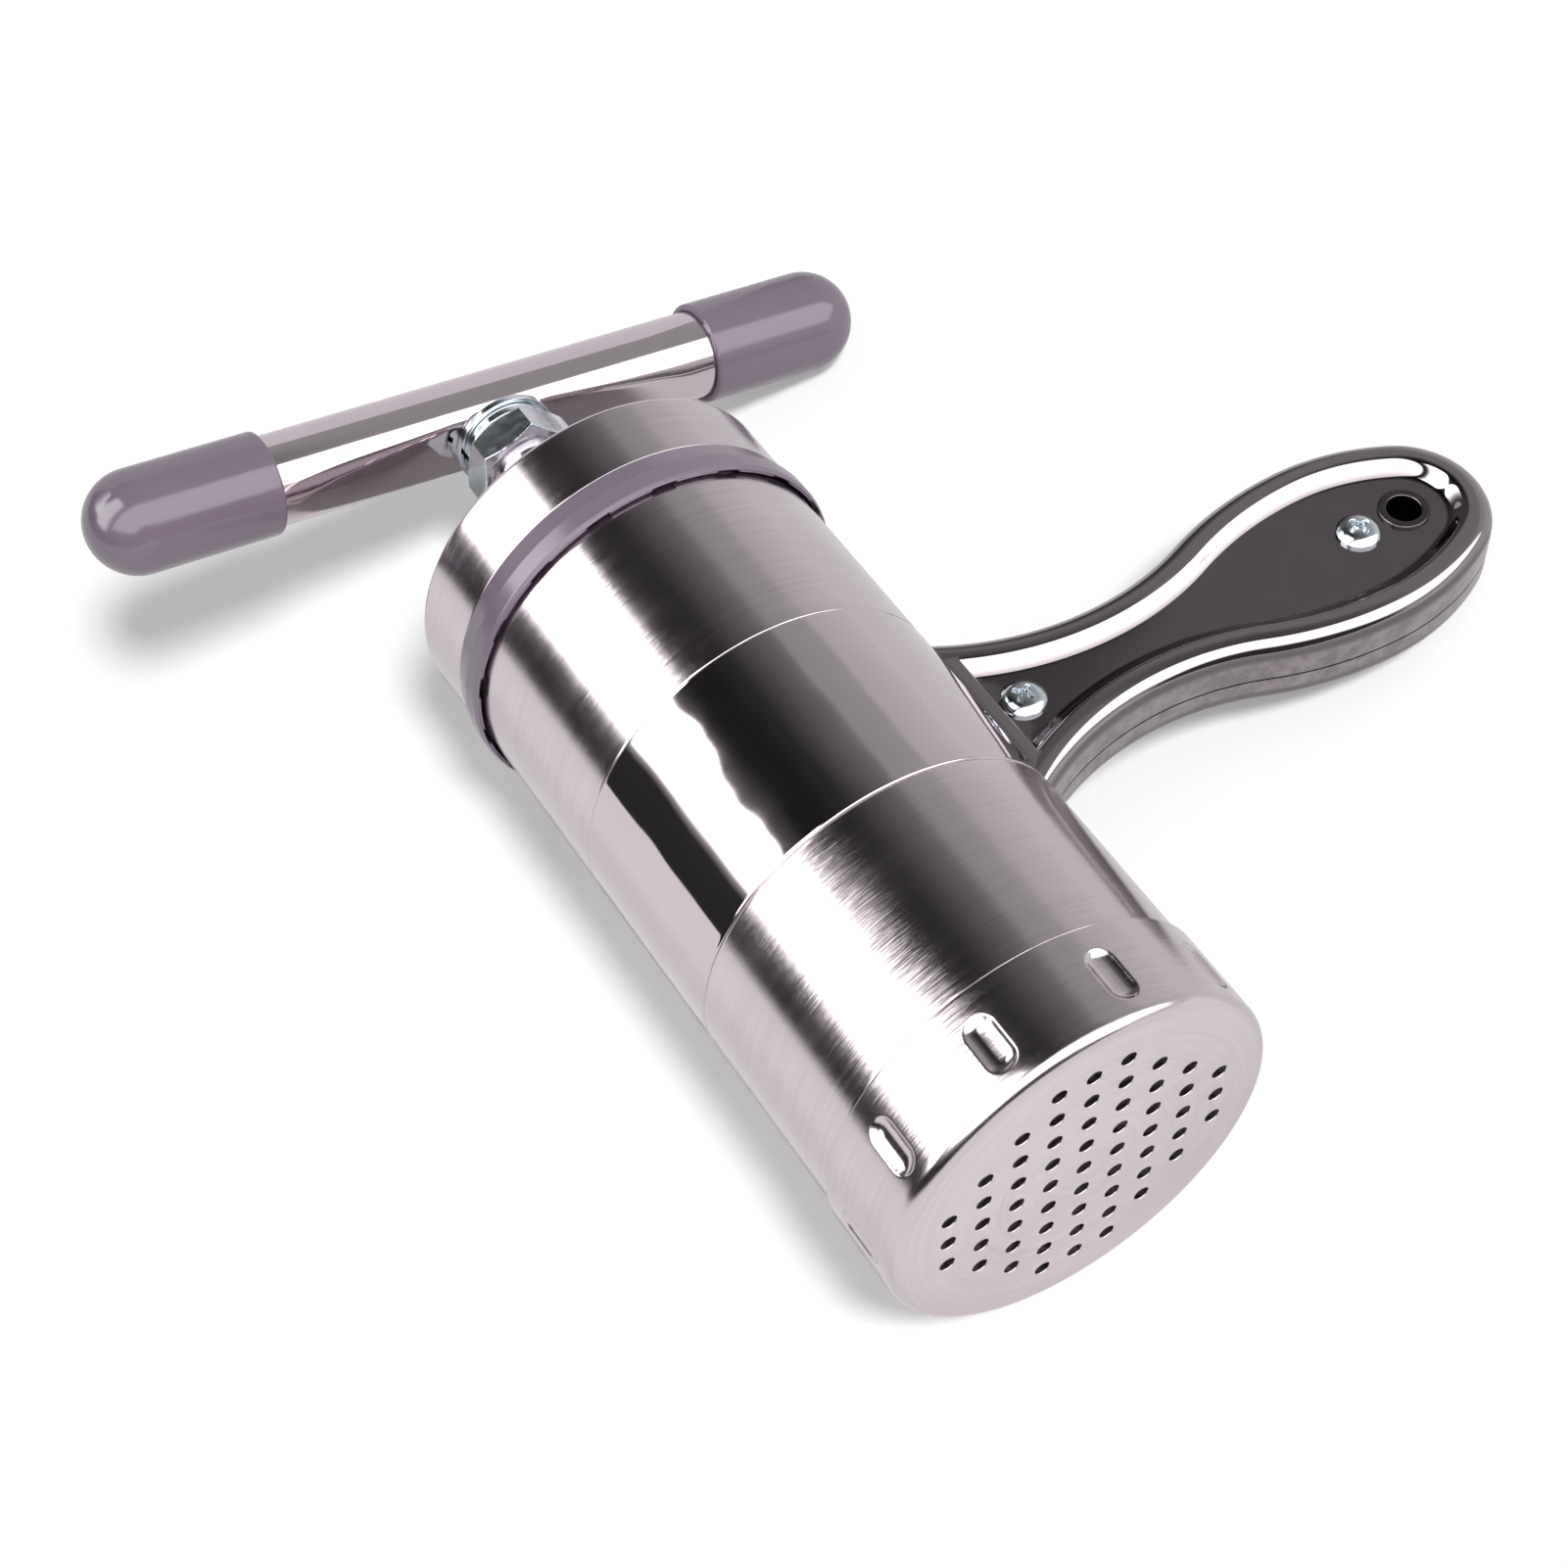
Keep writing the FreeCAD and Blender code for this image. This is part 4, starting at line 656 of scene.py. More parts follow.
def screw_patches(place, turn):
    """A pan head, domed by a fourth power of the radius, less a cross whose depth falls off past its
    arms' width and reach, over a plain shank."""
    x, y = disc_grid(HEAD_GRID)
    radius = np.hypot(x, y)
    dome = HEAD_HEIGHT * (1 - DOME_DROP * radius**4) - DOME_FALL * radius**2
    x, y = x * HEAD_RADIUS, y * HEAD_RADIUS
    across = np.minimum(np.abs(x), np.abs(y))
    reach = np.maximum(np.abs(x), np.abs(y))
    arm_side = CROSS_HALF_WIDTH * (1 - CROSS_TAPER * reach / CROSS_REACH)
    arm = 1 - soft_step(across, arm_side, arm_side + CROSS_SOFTNESS)
    cross = arm * (1 - soft_step(reach, CROSS_REACH - CROSS_END, CROSS_REACH))
    height = PANEL_HEIGHT + dome - CROSS_DEPTH * cross
    shown_x = place + x * math.cos(turn) - y * math.sin(turn)
    shown_y = HANDLE_AXIS + x * math.sin(turn) + y * math.cos(turn)
    head = placed(shown_x, shown_y, height)
    rim = np.concatenate([head[0], head[1:, -1], head[-1, -2::-1], head[-2:0:-1, 0]])
    middle = placed(place, HANDLE_AXIS, PANEL_HEIGHT)
    levels = [rim]
    rim_level = float((rim @ PANEL_UP)[0]) / MM
    outward = (rim - middle) - np.outer((rim - middle) @ PANEL_UP, PANEL_UP)
    shank_share = SHANK_RADIUS / HEAD_RADIUS
    for share, level in ((1, rim_level - HEAD_EDGE), (1, PANEL_HEIGHT), (shank_share, PANEL_HEIGHT)):
        levels.append(middle + outward * share + PANEL_UP * (level - PANEL_HEIGHT) * MM)
    levels.append(levels[-1] - PANEL_UP * SHANK_LENGTH * MM)
    levels.append(np.repeat((middle - PANEL_UP * SHANK_LENGTH * MM)[None], len(rim), 0))
    return [patch(head), patch(np.stack(levels), columns_closed=True)]


screw_turns = (math.radians(35), math.radians(8))
screws = [part for where, turn in zip(SCREW_PLACES, screw_turns) for part in screw_patches(where, turn)]
piece("handle_screws_surface", screws, "barrel", zinc, ["handle_screws"])

# Inside the handle: the saddle plate and tang of plain steel strip, and two turned spacer posts.
# They are welded and clamped between the shells and hardly show.
plain_steel = brushed_steel("plain_steel", STEEL, 0.3, 0.000004)
for node in ("handle_saddle", "handle_tang", "handle_posts"):
    frame["nodes"][node].data.materials.clear()
    frame["nodes"][node].data.materials.append(plain_steel)

# Die cap: a screw-on cup of brushed steel sheet. Its flat face is pierced with a square grid of
# round holes, and ten stadium-shaped dents are pressed into its skirt for grip.
CAP_WALL = 1.0
CAP_BASE = 1.0
CAP_ROUND = 2.2
CAP_EDGE = 0.15
HOLE_RADIUS = 1.2
HOLE_PITCH = 5.45
HOLE_REACH = 22.8
HOLE_ROWS = 9
HOLE_EDGE = 0.15
DIMPLE_COUNT = 10
DIMPLE_START = math.radians(3.3)
DIMPLE_CENTRE = 8.0
DIMPLE_LENGTH = 9.0
DIMPLE_WIDTH = 4.6
DIMPLE_DEPTH = 0.85
DIMPLE_MARGIN = 3.4
DIMPLE_SPAN = 5.4
DIMPLE_ROWS = 74
DIMPLE_SHOULDER = 2.6
DIMPLE_SOFTNESS = 0.003
PLATE_MARGIN = 0.5
HOLE_STEPS = 28
cap_radius, cap_low, cap_high = measured("die_cap")[1:]
cap_inside = cap_radius - CAP_WALL
plate_radius = cap_radius - CAP_ROUND - PLATE_MARGIN
pitch_angle = 2 * math.pi / DIMPLE_COUNT
dimple_half = DIMPLE_MARGIN / cap_radius
fine = np.linspace(-dimple_half, dimple_half, 46, endpoint=False)
coarse = np.linspace(dimple_half, pitch_angle - dimple_half, 12, endpoint=False)
column = np.concatenate([fine, coarse])
cap_angles = (DIMPLE_START + np.arange(DIMPLE_COUNT)[:, None] * pitch_angle + column).ravel()
cap_steps = 10
cap_section = rounded([
    (cap_radius, cap_low, CAP_ROUND), (cap_radius, cap_high, CAP_EDGE),
    (cap_inside, cap_high, CAP_EDGE), (cap_inside, CAP_BASE, CAP_ROUND - CAP_WALL),
    (plate_radius, CAP_BASE, 0), (plate_radius, cap_low, 0),
], cap_steps)
first_corner, skirt_corners = cap_steps + 2, 4 * (cap_steps + 3)
dimple_rows = np.linspace(DIMPLE_CENTRE - DIMPLE_SPAN, DIMPLE_CENTRE + DIMPLE_SPAN, DIMPLE_ROWS)
wall_rows = np.stack([np.full_like(dimple_rows, cap_radius), dimple_rows], 1)
cap_rows = np.concatenate([
    [(plate_radius, cap_low)], cap_section[:first_corner], wall_rows,
    cap_section[first_corner + 1:skirt_corners], [(plate_radius, CAP_BASE)],
])
off_centre = (cap_angles - DIMPLE_START + pitch_angle / 2) % pitch_angle - pitch_angle / 2
beyond = np.maximum(np.abs(cap_rows[:, 1:] - DIMPLE_CENTRE) - (DIMPLE_LENGTH - DIMPLE_WIDTH) / 2, 0)
from_spine = np.hypot(cap_radius * off_centre, beyond) / (DIMPLE_WIDTH / 2)
raised = 1 - from_spine**DIMPLE_SHOULDER
dent = DIMPLE_DEPTH * (raised + np.sqrt(raised**2 + DIMPLE_SOFTNESS)) / 2
on_wall = (cap_rows[:, :1] > cap_radius - 1e-6) & (cap_rows[:, 1:] > CAP_ROUND)
cap_radii = cap_rows[:, :1] - np.where(on_wall, dent, 0)
skirt = placed(cap_radii * np.cos(cap_angles), cap_rows[:, 1:], cap_radii * np.sin(cap_angles))


def plate(height, hole_radius):
    """One face of the pierced plate, between the skirt's rim and the edges of the holes."""
    rim_x, rim_z = plate_radius * np.cos(cap_angles), plate_radius * np.sin(cap_angles)
    rims = [ring(x, z, hole_radius, HOLE_STEPS) for x, z in hole_places]
    x, z, level, faces = flat(rim_x, rim_z, height, rims)
    return placed(x, level, z).reshape(-1, 3), faces


steps = (np.arange(HOLE_ROWS) - HOLE_ROWS // 2) * HOLE_PITCH
grid_x, grid_z = (part.ravel() for part in np.meshgrid(steps, steps))
inside_reach = np.hypot(grid_x, grid_z) < HOLE_REACH
hole_places = np.stack([grid_x, grid_z], 1)[inside_reach]
hole_rim = HOLE_RADIUS + HOLE_EDGE
edge_angle = np.radians(np.linspace(0, 90, 4))
edge_out = hole_rim - HOLE_EDGE * np.sin(edge_angle)
edge_in = HOLE_EDGE * (1 - np.cos(edge_angle))
hole_profile = np.stack([
    np.concatenate([edge_out, edge_out[::-1]]),
    np.concatenate([cap_low + edge_in, CAP_BASE - edge_in[::-1]]),
], 1)
hole_walls = []
for x, z in hole_places:
    around = ring(0, 0, 1.0, HOLE_STEPS)
    wall_x = x + hole_profile[:, :1] * around[:, 0]
    wall_z = z + hole_profile[:, :1] * around[:, 1]
    hole_walls.append(patch(placed(wall_x, hole_profile[:, 1:], wall_z), columns_closed=True))
die_patches = [patch(skirt, columns_closed=True), plate(cap_low, hole_rim), plate(CAP_BASE, hole_rim)]
cap_finish = brushed_steel("cap_steel", STEEL, 0.15, 0.000015)
piece("die_cap_surface", die_patches + hole_walls, "die", cap_finish, ["die_cap"])

# Lid shell: a shallow cup of brushed steel, drawn from sheet, with a hole for the screw bush in its
# top. It is pressed over the plastic collar's liner.
LID_WALL = 0.7
LID_ROUND = 1.2
LID_EDGE = 0.15
LID_HOLE_EDGE = 0.1
lid_hole, lid_radius, lid_low, lid_high = measured("lid_shell")
lid_inside = lid_radius - LID_WALL
lid_under = lid_high - LID_WALL
lid_outline = rounded([
    (lid_hole, lid_high, LID_HOLE_EDGE), (lid_radius, lid_high, LID_ROUND), (lid_radius, lid_low, LID_EDGE),
    (lid_inside, lid_low, LID_EDGE), (lid_inside, lid_under, LID_ROUND - LID_WALL),
    (lid_hole, lid_under, LID_HOLE_EDGE),
], steps=8)
lid_finish = brushed_steel("lid_steel", STEEL, 0.16, 0.000013)
piece("lid_shell_surface", [turned(lid_outline)], "lid", lid_finish, ["lid_shell"])

# Lid collar: the moulded mauve ring below the cup, with a liner that reaches up inside it and
# seventeen grip notches in its lower inner edge. The plastic is glossy, with a faint moulding grain.
COLLAR_GAP = 0.5
COLLAR_EDGE = 0.35
COLLAR_CROWN = 2.6
COLLAR_CONE = 1.1
LINER_LOW = 118.3
LINER_GAP = 0.05
NOTCH_COUNT = 17
NOTCH_START = math.radians(0.2)
NOTCH_WIDTH = 4.1
NOTCH_HEIGHT = 1.2
NOTCH_DEPTH = 0.4
NOTCH_STEP = 0.02
PLASTIC_CLOUDS, PLASTIC_GRAIN = 60, 2600
MAUVE = (0.212, 0.166, 0.218)


def mauve_plastic(name, roughness, tone):
    """Glossy moulded plastic: even colour with faint clouds and a very fine grain."""
    material = bpy.data.materials.new(name)
    recipe = Recipe(material)
    x, y, z = recipe.place()
    clouds = recipe.noise(x * PLASTIC_CLOUDS, y * PLASTIC_CLOUDS, z * PLASTIC_CLOUDS, 3.0)
    grain = recipe.noise(x * PLASTIC_GRAIN, y * PLASTIC_GRAIN, z * PLASTIC_GRAIN, 2.0)
    recipe.surface(
        Base_Color=recipe.blend(clouds, shade(MAUVE, 0.95 * tone), shade(MAUVE, 1.05 * tone)),
        Roughness=clouds * 0.08 + grain * 0.05 + (roughness - 0.065),
        Normal=recipe.bump(grain, 0.000004),
        IOR=1.5,
    )
    return material


# Painted reflection: the collar's mauve is made 1.12 times as light, against 0.97 for the grips of the same
# plastic, to stand for the light its ring reflects.
mauve = mauve_plastic("mauve_plastic", 0.2, 1.12)
liner_inside, collar_radius, collar_low, liner_high = measured("lid_collar")
collar_inside = barrel_radius + COLLAR_GAP
collar_shoulder = collar_low + 2 * COLLAR_EDGE
notch_floor = collar_inside + NOTCH_DEPTH
notch_top = collar_low + NOTCH_HEIGHT
collar_outline = rounded([
    (notch_floor, collar_low, 0), (collar_radius - COLLAR_EDGE, collar_low, COLLAR_EDGE / 2),
    (collar_radius, collar_shoulder, COLLAR_CONE / 2),
    (collar_radius, collar_shoulder + COLLAR_CROWN, COLLAR_CONE),
    (lid_radius, lid_low, 0.05), (lid_inside - LINER_GAP, lid_low, 0.05),
    (lid_inside - LINER_GAP, liner_high, 0.2), (liner_inside, liner_high, 0.2),
    (liner_inside, LINER_LOW, 0.1), (collar_inside, LINER_LOW, 0.1),
    (collar_inside, notch_top + NOTCH_STEP, 0), (collar_inside, notch_top, 0),
    (collar_inside, collar_low, 0),
][::-1])[::-1]
notch_half = NOTCH_WIDTH / collar_inside / 2
notch_pitch = 2 * math.pi / NOTCH_COUNT
notch_side = 0.0012
column = np.concatenate([
    [-notch_half - notch_side, -notch_half], np.linspace(-notch_half, notch_half, 10)[1:-1],
    [notch_half, notch_half + notch_side],
    np.linspace(notch_half, notch_pitch - notch_half, 14)[1:-1],
])
cut = np.where(np.abs(column) < notch_half + notch_side / 2, 1.0, 0.0)
collar_angles = (NOTCH_START + np.arange(NOTCH_COUNT)[:, None] * notch_pitch + column).ravel()
cut = np.tile(cut, NOTCH_COUNT)
on_bore = np.abs(collar_outline[:, 0] - collar_inside) < NOTCH_STEP / 2
moved = on_bore & (collar_outline[:, 1] < notch_top + NOTCH_STEP / 2)
collar_x = collar_outline[:, :1] + np.where(moved[:, None], NOTCH_DEPTH * cut, 0)
collar_y = collar_outline[:, 1:] + 0 * cut
collar_ring = placed(collar_x * np.cos(collar_angles), collar_y, collar_x * np.sin(collar_angles))
piece(
    "lid_collar_surface", [patch(collar_ring, rows_closed=True, columns_closed=True)],
    "lid", mauve, ["lid_collar"],
)

# Screw bush: the nut of the lifting screw, turned from bar. Its neck passes through the lid, and a
# washer and a hexagon locknut clamp it from inside.
BUSH_FLANGE = 13.0
BUSH_FLANGE_HEIGHT = 2.0
BUSH_BOSS = 9.5
BUSH_NECK = 8.0
BUSH_ROUND = 0.8
BUSH_EDGE = 0.4
WASHER_EDGE = 0.15
NUT_FIT = 0.05
BUSH_NUT_WIDTH, CRANK_NUT_WIDTH = 22.0, 16.0
NUT_CHAMFER_RUN, NUT_CHAMFER_ROWS = 1.3, 14
NUT_FACE_SHARE = 0.965
NUT_CORNER_BLEND = 0.004
NUT_CREASE = 20.0
bush_bore = measured("screw_bush")[0]
bush_low, bush_high = measured("screw_bush")[2:]
flange_top = lid_high + BUSH_FLANGE_HEIGHT
bush_outline = rounded([
    (bush_bore, bush_low, BUSH_EDGE), (BUSH_NECK, bush_low, BUSH_EDGE), (BUSH_NECK, lid_high, 0.05),
    (BUSH_FLANGE, lid_high, 0.1), (BUSH_FLANGE, flange_top, BUSH_ROUND), (BUSH_BOSS, flange_top, BUSH_EDGE),
    (BUSH_BOSS, bush_high, BUSH_ROUND), (bush_bore, bush_high, BUSH_EDGE),
])
turned_steel = brushed_steel("turned_steel", STEEL, 0.2, 0.000006)
piece("screw_bush_surface", [turned(bush_outline)], "lid", turned_steel, ["screw_bush"])
for washer, body in (("bush_washer", "lid"), ("thrust_washer", "ram"), ("crank_washer", "crank"),
                     ("ram_retaining_washer", "crank")):
    piece(
        f"{washer}_surface", [turned(tube_outline(*measured(washer), WASHER_EDGE), steps=128)],
        body, zinc, [washer],
    )


def hexagon_nut(name, body, across_flats, hole, turn):
    """A hexagon nut: at each angle the radius is the lesser of the hexagon's and that of the cones
    which break its corners at both faces, blended over a few hundredths."""
    low, high = measured(name)[2:]
    angle = np.linspace(0, 2 * math.pi, 360, endpoint=False)
    flat_half = across_flats / 2
    sixth = math.pi / 3
    hexagon = flat_half / np.cos((angle + sixth / 2) % sixth - sixth / 2)
    low_rows = np.linspace(low, low + NUT_CHAMFER_RUN, NUT_CHAMFER_ROWS)
    high_rows = np.linspace(high - NUT_CHAMFER_RUN, high, NUT_CHAMFER_ROWS)
    height = np.concatenate([[low, low], low_rows, high_rows, [high, high]])[:, None]
    from_face = np.minimum(height - low, high - height)
    cone = flat_half * NUT_FACE_SHARE + from_face * math.tan(math.radians(60))
    radius = (hexagon + cone - np.sqrt((hexagon - cone) ** 2 + NUT_CORNER_BLEND)) / 2
    radius[0] = radius[-1] = hole
    points = placed(radius * np.cos(angle), height, radius * np.sin(angle), turn)
    nut = [patch(points, rows_closed=True, columns_closed=True)]
    piece(f"{name}_surface", nut, body, zinc, [name], NUT_CREASE)


hexagon_nut("bush_locknut", "lid", BUSH_NUT_WIDTH, BUSH_NECK + NUT_FIT, 0.0)

# Ram: a white moulded piston with a rubber ring in its groove. It rides on the screw's lower neck,
# between a washer under the shoulder and one held by a small screw.
RAM_FLOOR = 4.5
RAM_SKIRT = 2.2
RAM_BOSS = 10.0
RECESS_RADIUS = 8.0
RECESS_DEPTH = 3.0
SEAL_DEPTH = 1.5
SEAL_GAP = 0.05
RAM_EDGE = 0.3
RAM_FILLET = 0.8
RAM_STEPS = 256
MATT_CLOUDS, MATT_GRAIN = 80, 1800
RUBBER = (0.42, 0.42, 0.43)
WHITE = (0.78, 0.77, 0.74)


def soft_plastic(name, colour, roughness):
    """Plain moulded plastic or rubber, matt, with faint clouds and grain."""
    material = bpy.data.materials.new(name)
    recipe = Recipe(material)
    x, y, z = recipe.place()
    clouds = recipe.noise(x * MATT_CLOUDS, y * MATT_CLOUDS, z * MATT_CLOUDS, 3.0)
    grain = recipe.noise(x * MATT_GRAIN, y * MATT_GRAIN, z * MATT_GRAIN, 2.0)
    recipe.surface(
        Base_Color=recipe.blend(clouds, shade(colour, 0.94), shade(colour, 1.04)),
        Roughness=grain * 0.1 + roughness,
        Normal=recipe.bump(grain, 0.00001),
    )
    return material


neck, ram_radius, ram_low, ram_high = measured("ram_disc")
seal_inside, seal_radius, seal_low, seal_high = measured("ram_seal")
groove = ram_radius - SEAL_DEPTH
groove_low, groove_high = seal_low - SEAL_GAP, seal_high + SEAL_GAP
ram_floor, recess = ram_low + RAM_FLOOR, ram_low + RECESS_DEPTH
ram_outline = rounded([
    (RECESS_RADIUS, ram_low, RAM_EDGE), (ram_radius, ram_low, 0.5), (ram_radius, groove_low, 0.1),
    (groove, groove_low, 0.1), (groove, groove_high, 0.1), (ram_radius, groove_high, 0.1),
    (ram_radius, ram_high, RAM_EDGE), (ram_radius - RAM_SKIRT, ram_high, RAM_EDGE),
    (ram_radius - RAM_SKIRT, ram_floor, RAM_FILLET), (RAM_BOSS, ram_floor, RAM_FILLET),
    (RAM_BOSS, ram_high, RAM_EDGE), (neck, ram_high, 0.2), (neck, recess, 0.1),
    (RECESS_RADIUS, recess, RAM_EDGE),
])
white = soft_plastic("white_plastic", WHITE, 0.38)
rubber = soft_plastic("seal_rubber", RUBBER, 0.5)
piece("ram_disc_surface", [turned(ram_outline, steps=RAM_STEPS)], "ram", white, ["ram_disc"])
seal_outline = tube_outline(seal_inside, seal_radius, seal_low, seal_high, 0.4)
piece(
    "ram_seal_surface", [turned(seal_outline, steps=RAM_STEPS)],
    "ram", rubber, ["ram_seal"],
)
frame["nodes"]["ram_screw"].data.materials.clear()
frame["nodes"]["ram_screw"].data.materials.append(zinc)

# Lifting screw: a turned steel bar with a rounded thread of one turn in four millimetres, a lower
# neck for the ram, and a stud above that passes through the nut, the washers and the T tube, where
# its end is riveted over.
THREAD_LEAD = 4.0
THREAD_DEPTH = 0.75
ROD_RADIUS = 6.0
NECK_RADIUS = 4.0
STUD_RADIUS = 5.0
RIVET_RADIUS = 3.5
RIVET_LENGTH = 3.5
ROD_EDGE = 0.3
SHOULDER_GAP = 0.3
SHOULDER_EDGE = 0.4
THREAD_MARGIN = 0.5
THREAD_FADE = 3.0
THREAD_ROWS = 14
ROD_CREASE = 50.0
CRANK_TURN = math.radians(9.2)
rod_low, rod_high = measured("screw_rod")[2:]
nut_low = measured("crank_nut")[2]
shoulder_low = measured("thrust_washer")[3] + SHOULDER_GAP
rod_angles = np.linspace(0, 2 * math.pi, 72, endpoint=False)
thread_low, thread_high = shoulder_low + THREAD_MARGIN, nut_low - THREAD_MARGIN
thread_y = np.arange(thread_low, nut_low - 0.2, THREAD_LEAD / THREAD_ROWS)
turn_share = ((thread_y[:, None] / THREAD_LEAD - rod_angles / (2 * math.pi)) % 1.0) * 2 - 1
groove_shape = 1 - soft_step(np.abs(turn_share), 0.22, 0.6)
fade_in = soft_step(thread_y, thread_low, shoulder_low + THREAD_FADE)
fade_out = 1 - soft_step(thread_y, nut_low - THREAD_FADE, thread_high)
thread_radius = ROD_RADIUS - THREAD_DEPTH * groove_shape * (fade_in * fade_out)[:, None]


def plain_rows(corners):
    """Rows of constant radius at the rod's ends."""
    corners = np.array(corners)
    return np.repeat(corners[:, :1], len(rod_angles), 1), corners[:, 1]


low_radius, low_y = plain_rows([
    (0, rod_low), (NECK_RADIUS - ROD_EDGE, rod_low), (NECK_RADIUS, rod_low + ROD_EDGE),
    (NECK_RADIUS, shoulder_low - 0.05), (NECK_RADIUS, shoulder_low),
    (ROD_RADIUS - SHOULDER_EDGE, shoulder_low), (ROD_RADIUS, shoulder_low + SHOULDER_EDGE),
])
stud_high = rod_high - RIVET_LENGTH
high_radius, high_y = plain_rows([
    (ROD_RADIUS, nut_low - 0.15), (ROD_RADIUS, nut_low), (STUD_RADIUS, nut_low), (STUD_RADIUS, nut_low + 0.1),
    (STUD_RADIUS, stud_high), (RIVET_RADIUS, stud_high), (RIVET_RADIUS, rod_high - ROD_EDGE),
    (RIVET_RADIUS - ROD_EDGE, rod_high), (1.4, rod_high), (1.0, rod_high - 0.15), (0, rod_high - 0.2),
])
rod_radii = np.concatenate([low_radius, thread_radius, high_radius])
rod_y = np.concatenate([low_y, thread_y, high_y])[:, None]
rod = placed(rod_radii * np.cos(rod_angles), rod_y, rod_radii * np.sin(rod_angles), CRANK_TURN)
piece(
    "screw_rod_surface", [patch(rod, columns_closed=True)],
    "crank", turned_steel, ["screw_rod"], ROD_CREASE,
)

# T tube: a polished steel tube across the screw's end, pressed flat underneath so that the washers
# seat on it, and dished on top round the rivet. The plastic grips are pushed over its ends.
CRANK_AXIS = 167.3
CRANK_RADIUS = 7.3
CRANK_WALL = 1.0
CRANK_END = 62.0
FLAT_DEPTH = 2.0
FLAT_MIDDLE = 9.0
FLAT_END = 37.0
RIVET_DISH = 0.5
DISH_INSIDE, DISH_OUTSIDE = 3.7, 5.2
FLAT_SOFTNESS = 0.35
TUBE_ANGLES = 192


def crank_surface(radius, shrink, along, angles):
    """A tube across the barrel's axis. Angles run from straight down. The radius is the lesser of
    the tube's own and that of the pressed flat, blended softly, less the dish round the rivet."""
    depth = FLAT_DEPTH * np.clip((FLAT_END - np.abs(along)) / (FLAT_END - FLAT_MIDDLE), 0, 1)
    soft = 1.2 * soft_step(depth, 0.0, 0.8)
    to_flat = (CRANK_RADIUS - depth - shrink)[:, None] / np.maximum(np.cos(angles), 0.08)
    sharp = np.minimum(radius, to_flat)
    blend = (FLAT_SOFTNESS * soft[:, None]) ** 2
    smooth = (radius + to_flat - np.sqrt((radius - to_flat) ** 2 + blend)) / 2
    size = np.where(depth[:, None] > 0, np.minimum(smooth, sharp), radius)
    from_rivet = np.hypot(along[:, None], size * np.sin(angles))
    top = np.cos(angles) < 0
    size = size - np.where(top, RIVET_DISH * (1 - soft_step(from_rivet, DISH_INSIDE, DISH_OUTSIDE)), 0)
    return along[:, None] + 0 * size, CRANK_AXIS - size * np.cos(angles), size * np.sin(angles)


half_run = np.concatenate([np.arange(0, 6, 0.25), np.arange(6, 40, 0.5), np.arange(40, CRANK_END, 4.0)])
along = np.concatenate([-half_run[:0:-1], half_run])
along = np.concatenate([[-CRANK_END], along, [CRANK_END]])
tube_angles = np.linspace(0, 2 * math.pi, TUBE_ANGLES, endpoint=False)
outside_skin = np.stack(crank_surface(CRANK_RADIUS, 0.0, along, tube_angles), -1)
inside_skin = np.stack(crank_surface(CRANK_RADIUS - CRANK_WALL, CRANK_WALL, along, tube_angles), -1)
crank_skin = np.concatenate([outside_skin, inside_skin[::-1]])
crank_points = placed(*np.moveaxis(crank_skin, -1, 0), CRANK_TURN)
crank_steel = polished_steel("crank_steel", STEEL, 0.055, 0.00003, 0.02)
piece(
    "crank_tube_surface", [patch(crank_points, rows_closed=True, columns_closed=True)],
    "crank", crank_steel, ["crank_tube"],
)
hexagon_nut("crank_nut", "crank", CRANK_NUT_WIDTH, STUD_RADIUS + NUT_FIT, CRANK_TURN)

# Spring washer: a split ring of square zinc-plated wire between the nut and the flat washer. Its
# ends stand a little apart, one lower than the other.
SPLIT_HALF = 0.08
SPRING_RISE = 0.3
WIRE_EDGE = 0.25
spring_inside, spring_outside, spring_low, spring_high = measured("spring_washer")
spring_angles = np.linspace(SPLIT_HALF, 2 * math.pi - SPLIT_HALF, 160)
spring_section = tube_outline(
    spring_inside, spring_outside, spring_low, spring_high - SPRING_RISE, WIRE_EDGE,
)
lift = SPRING_RISE * spring_angles / (2 * math.pi)
spring_x = -spring_section[:, :1] * np.cos(spring_angles)
spring_z = -spring_section[:, :1] * np.sin(spring_angles)
coil = placed(spring_x, spring_section[:, 1:] + lift, spring_z, CRANK_TURN)
ends = [coil[:, :1], coil[:, -1:]]
caps = [(end.reshape(-1, 3), [list(range(len(spring_section)))]) for end in ends]
piece(
    "spring_washer_surface", [patch(coil, rows_closed=True)] + caps,
    "crank", zinc, ["spring_washer"],
)

# Grips: two capped sleeves of the same mauve plastic, moulded in one piece with round ends and
# pushed over the T tube. Their mouths are slightly rounded.
GRIP_RADIUS = 8.4
GRIP_MOUTH = 39.3
GRIP_END = 69.2
GRIP_EDGE = 0.5
GRIP_FIT = 0.05
HOLE_CHAMFER = 0.3
MOUTH_RUN, MOUTH_RISE = 0.2, 0.15
grip_hole = CRANK_RADIUS + GRIP_FIT
grip_plastic = mauve_plastic("grip_plastic", 0.15, 0.97)
grip_centre = GRIP_END - GRIP_RADIUS
dome = np.radians(np.linspace(0, 90, 40))
dome_rows = np.stack([GRIP_RADIUS * np.cos(dome), grip_centre + GRIP_RADIUS * np.sin(dome)], 1)
lip = np.radians(np.linspace(0, 90, 7))
lip_rows = np.stack([
    GRIP_RADIUS - GRIP_EDGE + GRIP_EDGE * np.sin(lip), GRIP_MOUTH + GRIP_EDGE * (1 - np.cos(lip)),
], 1)
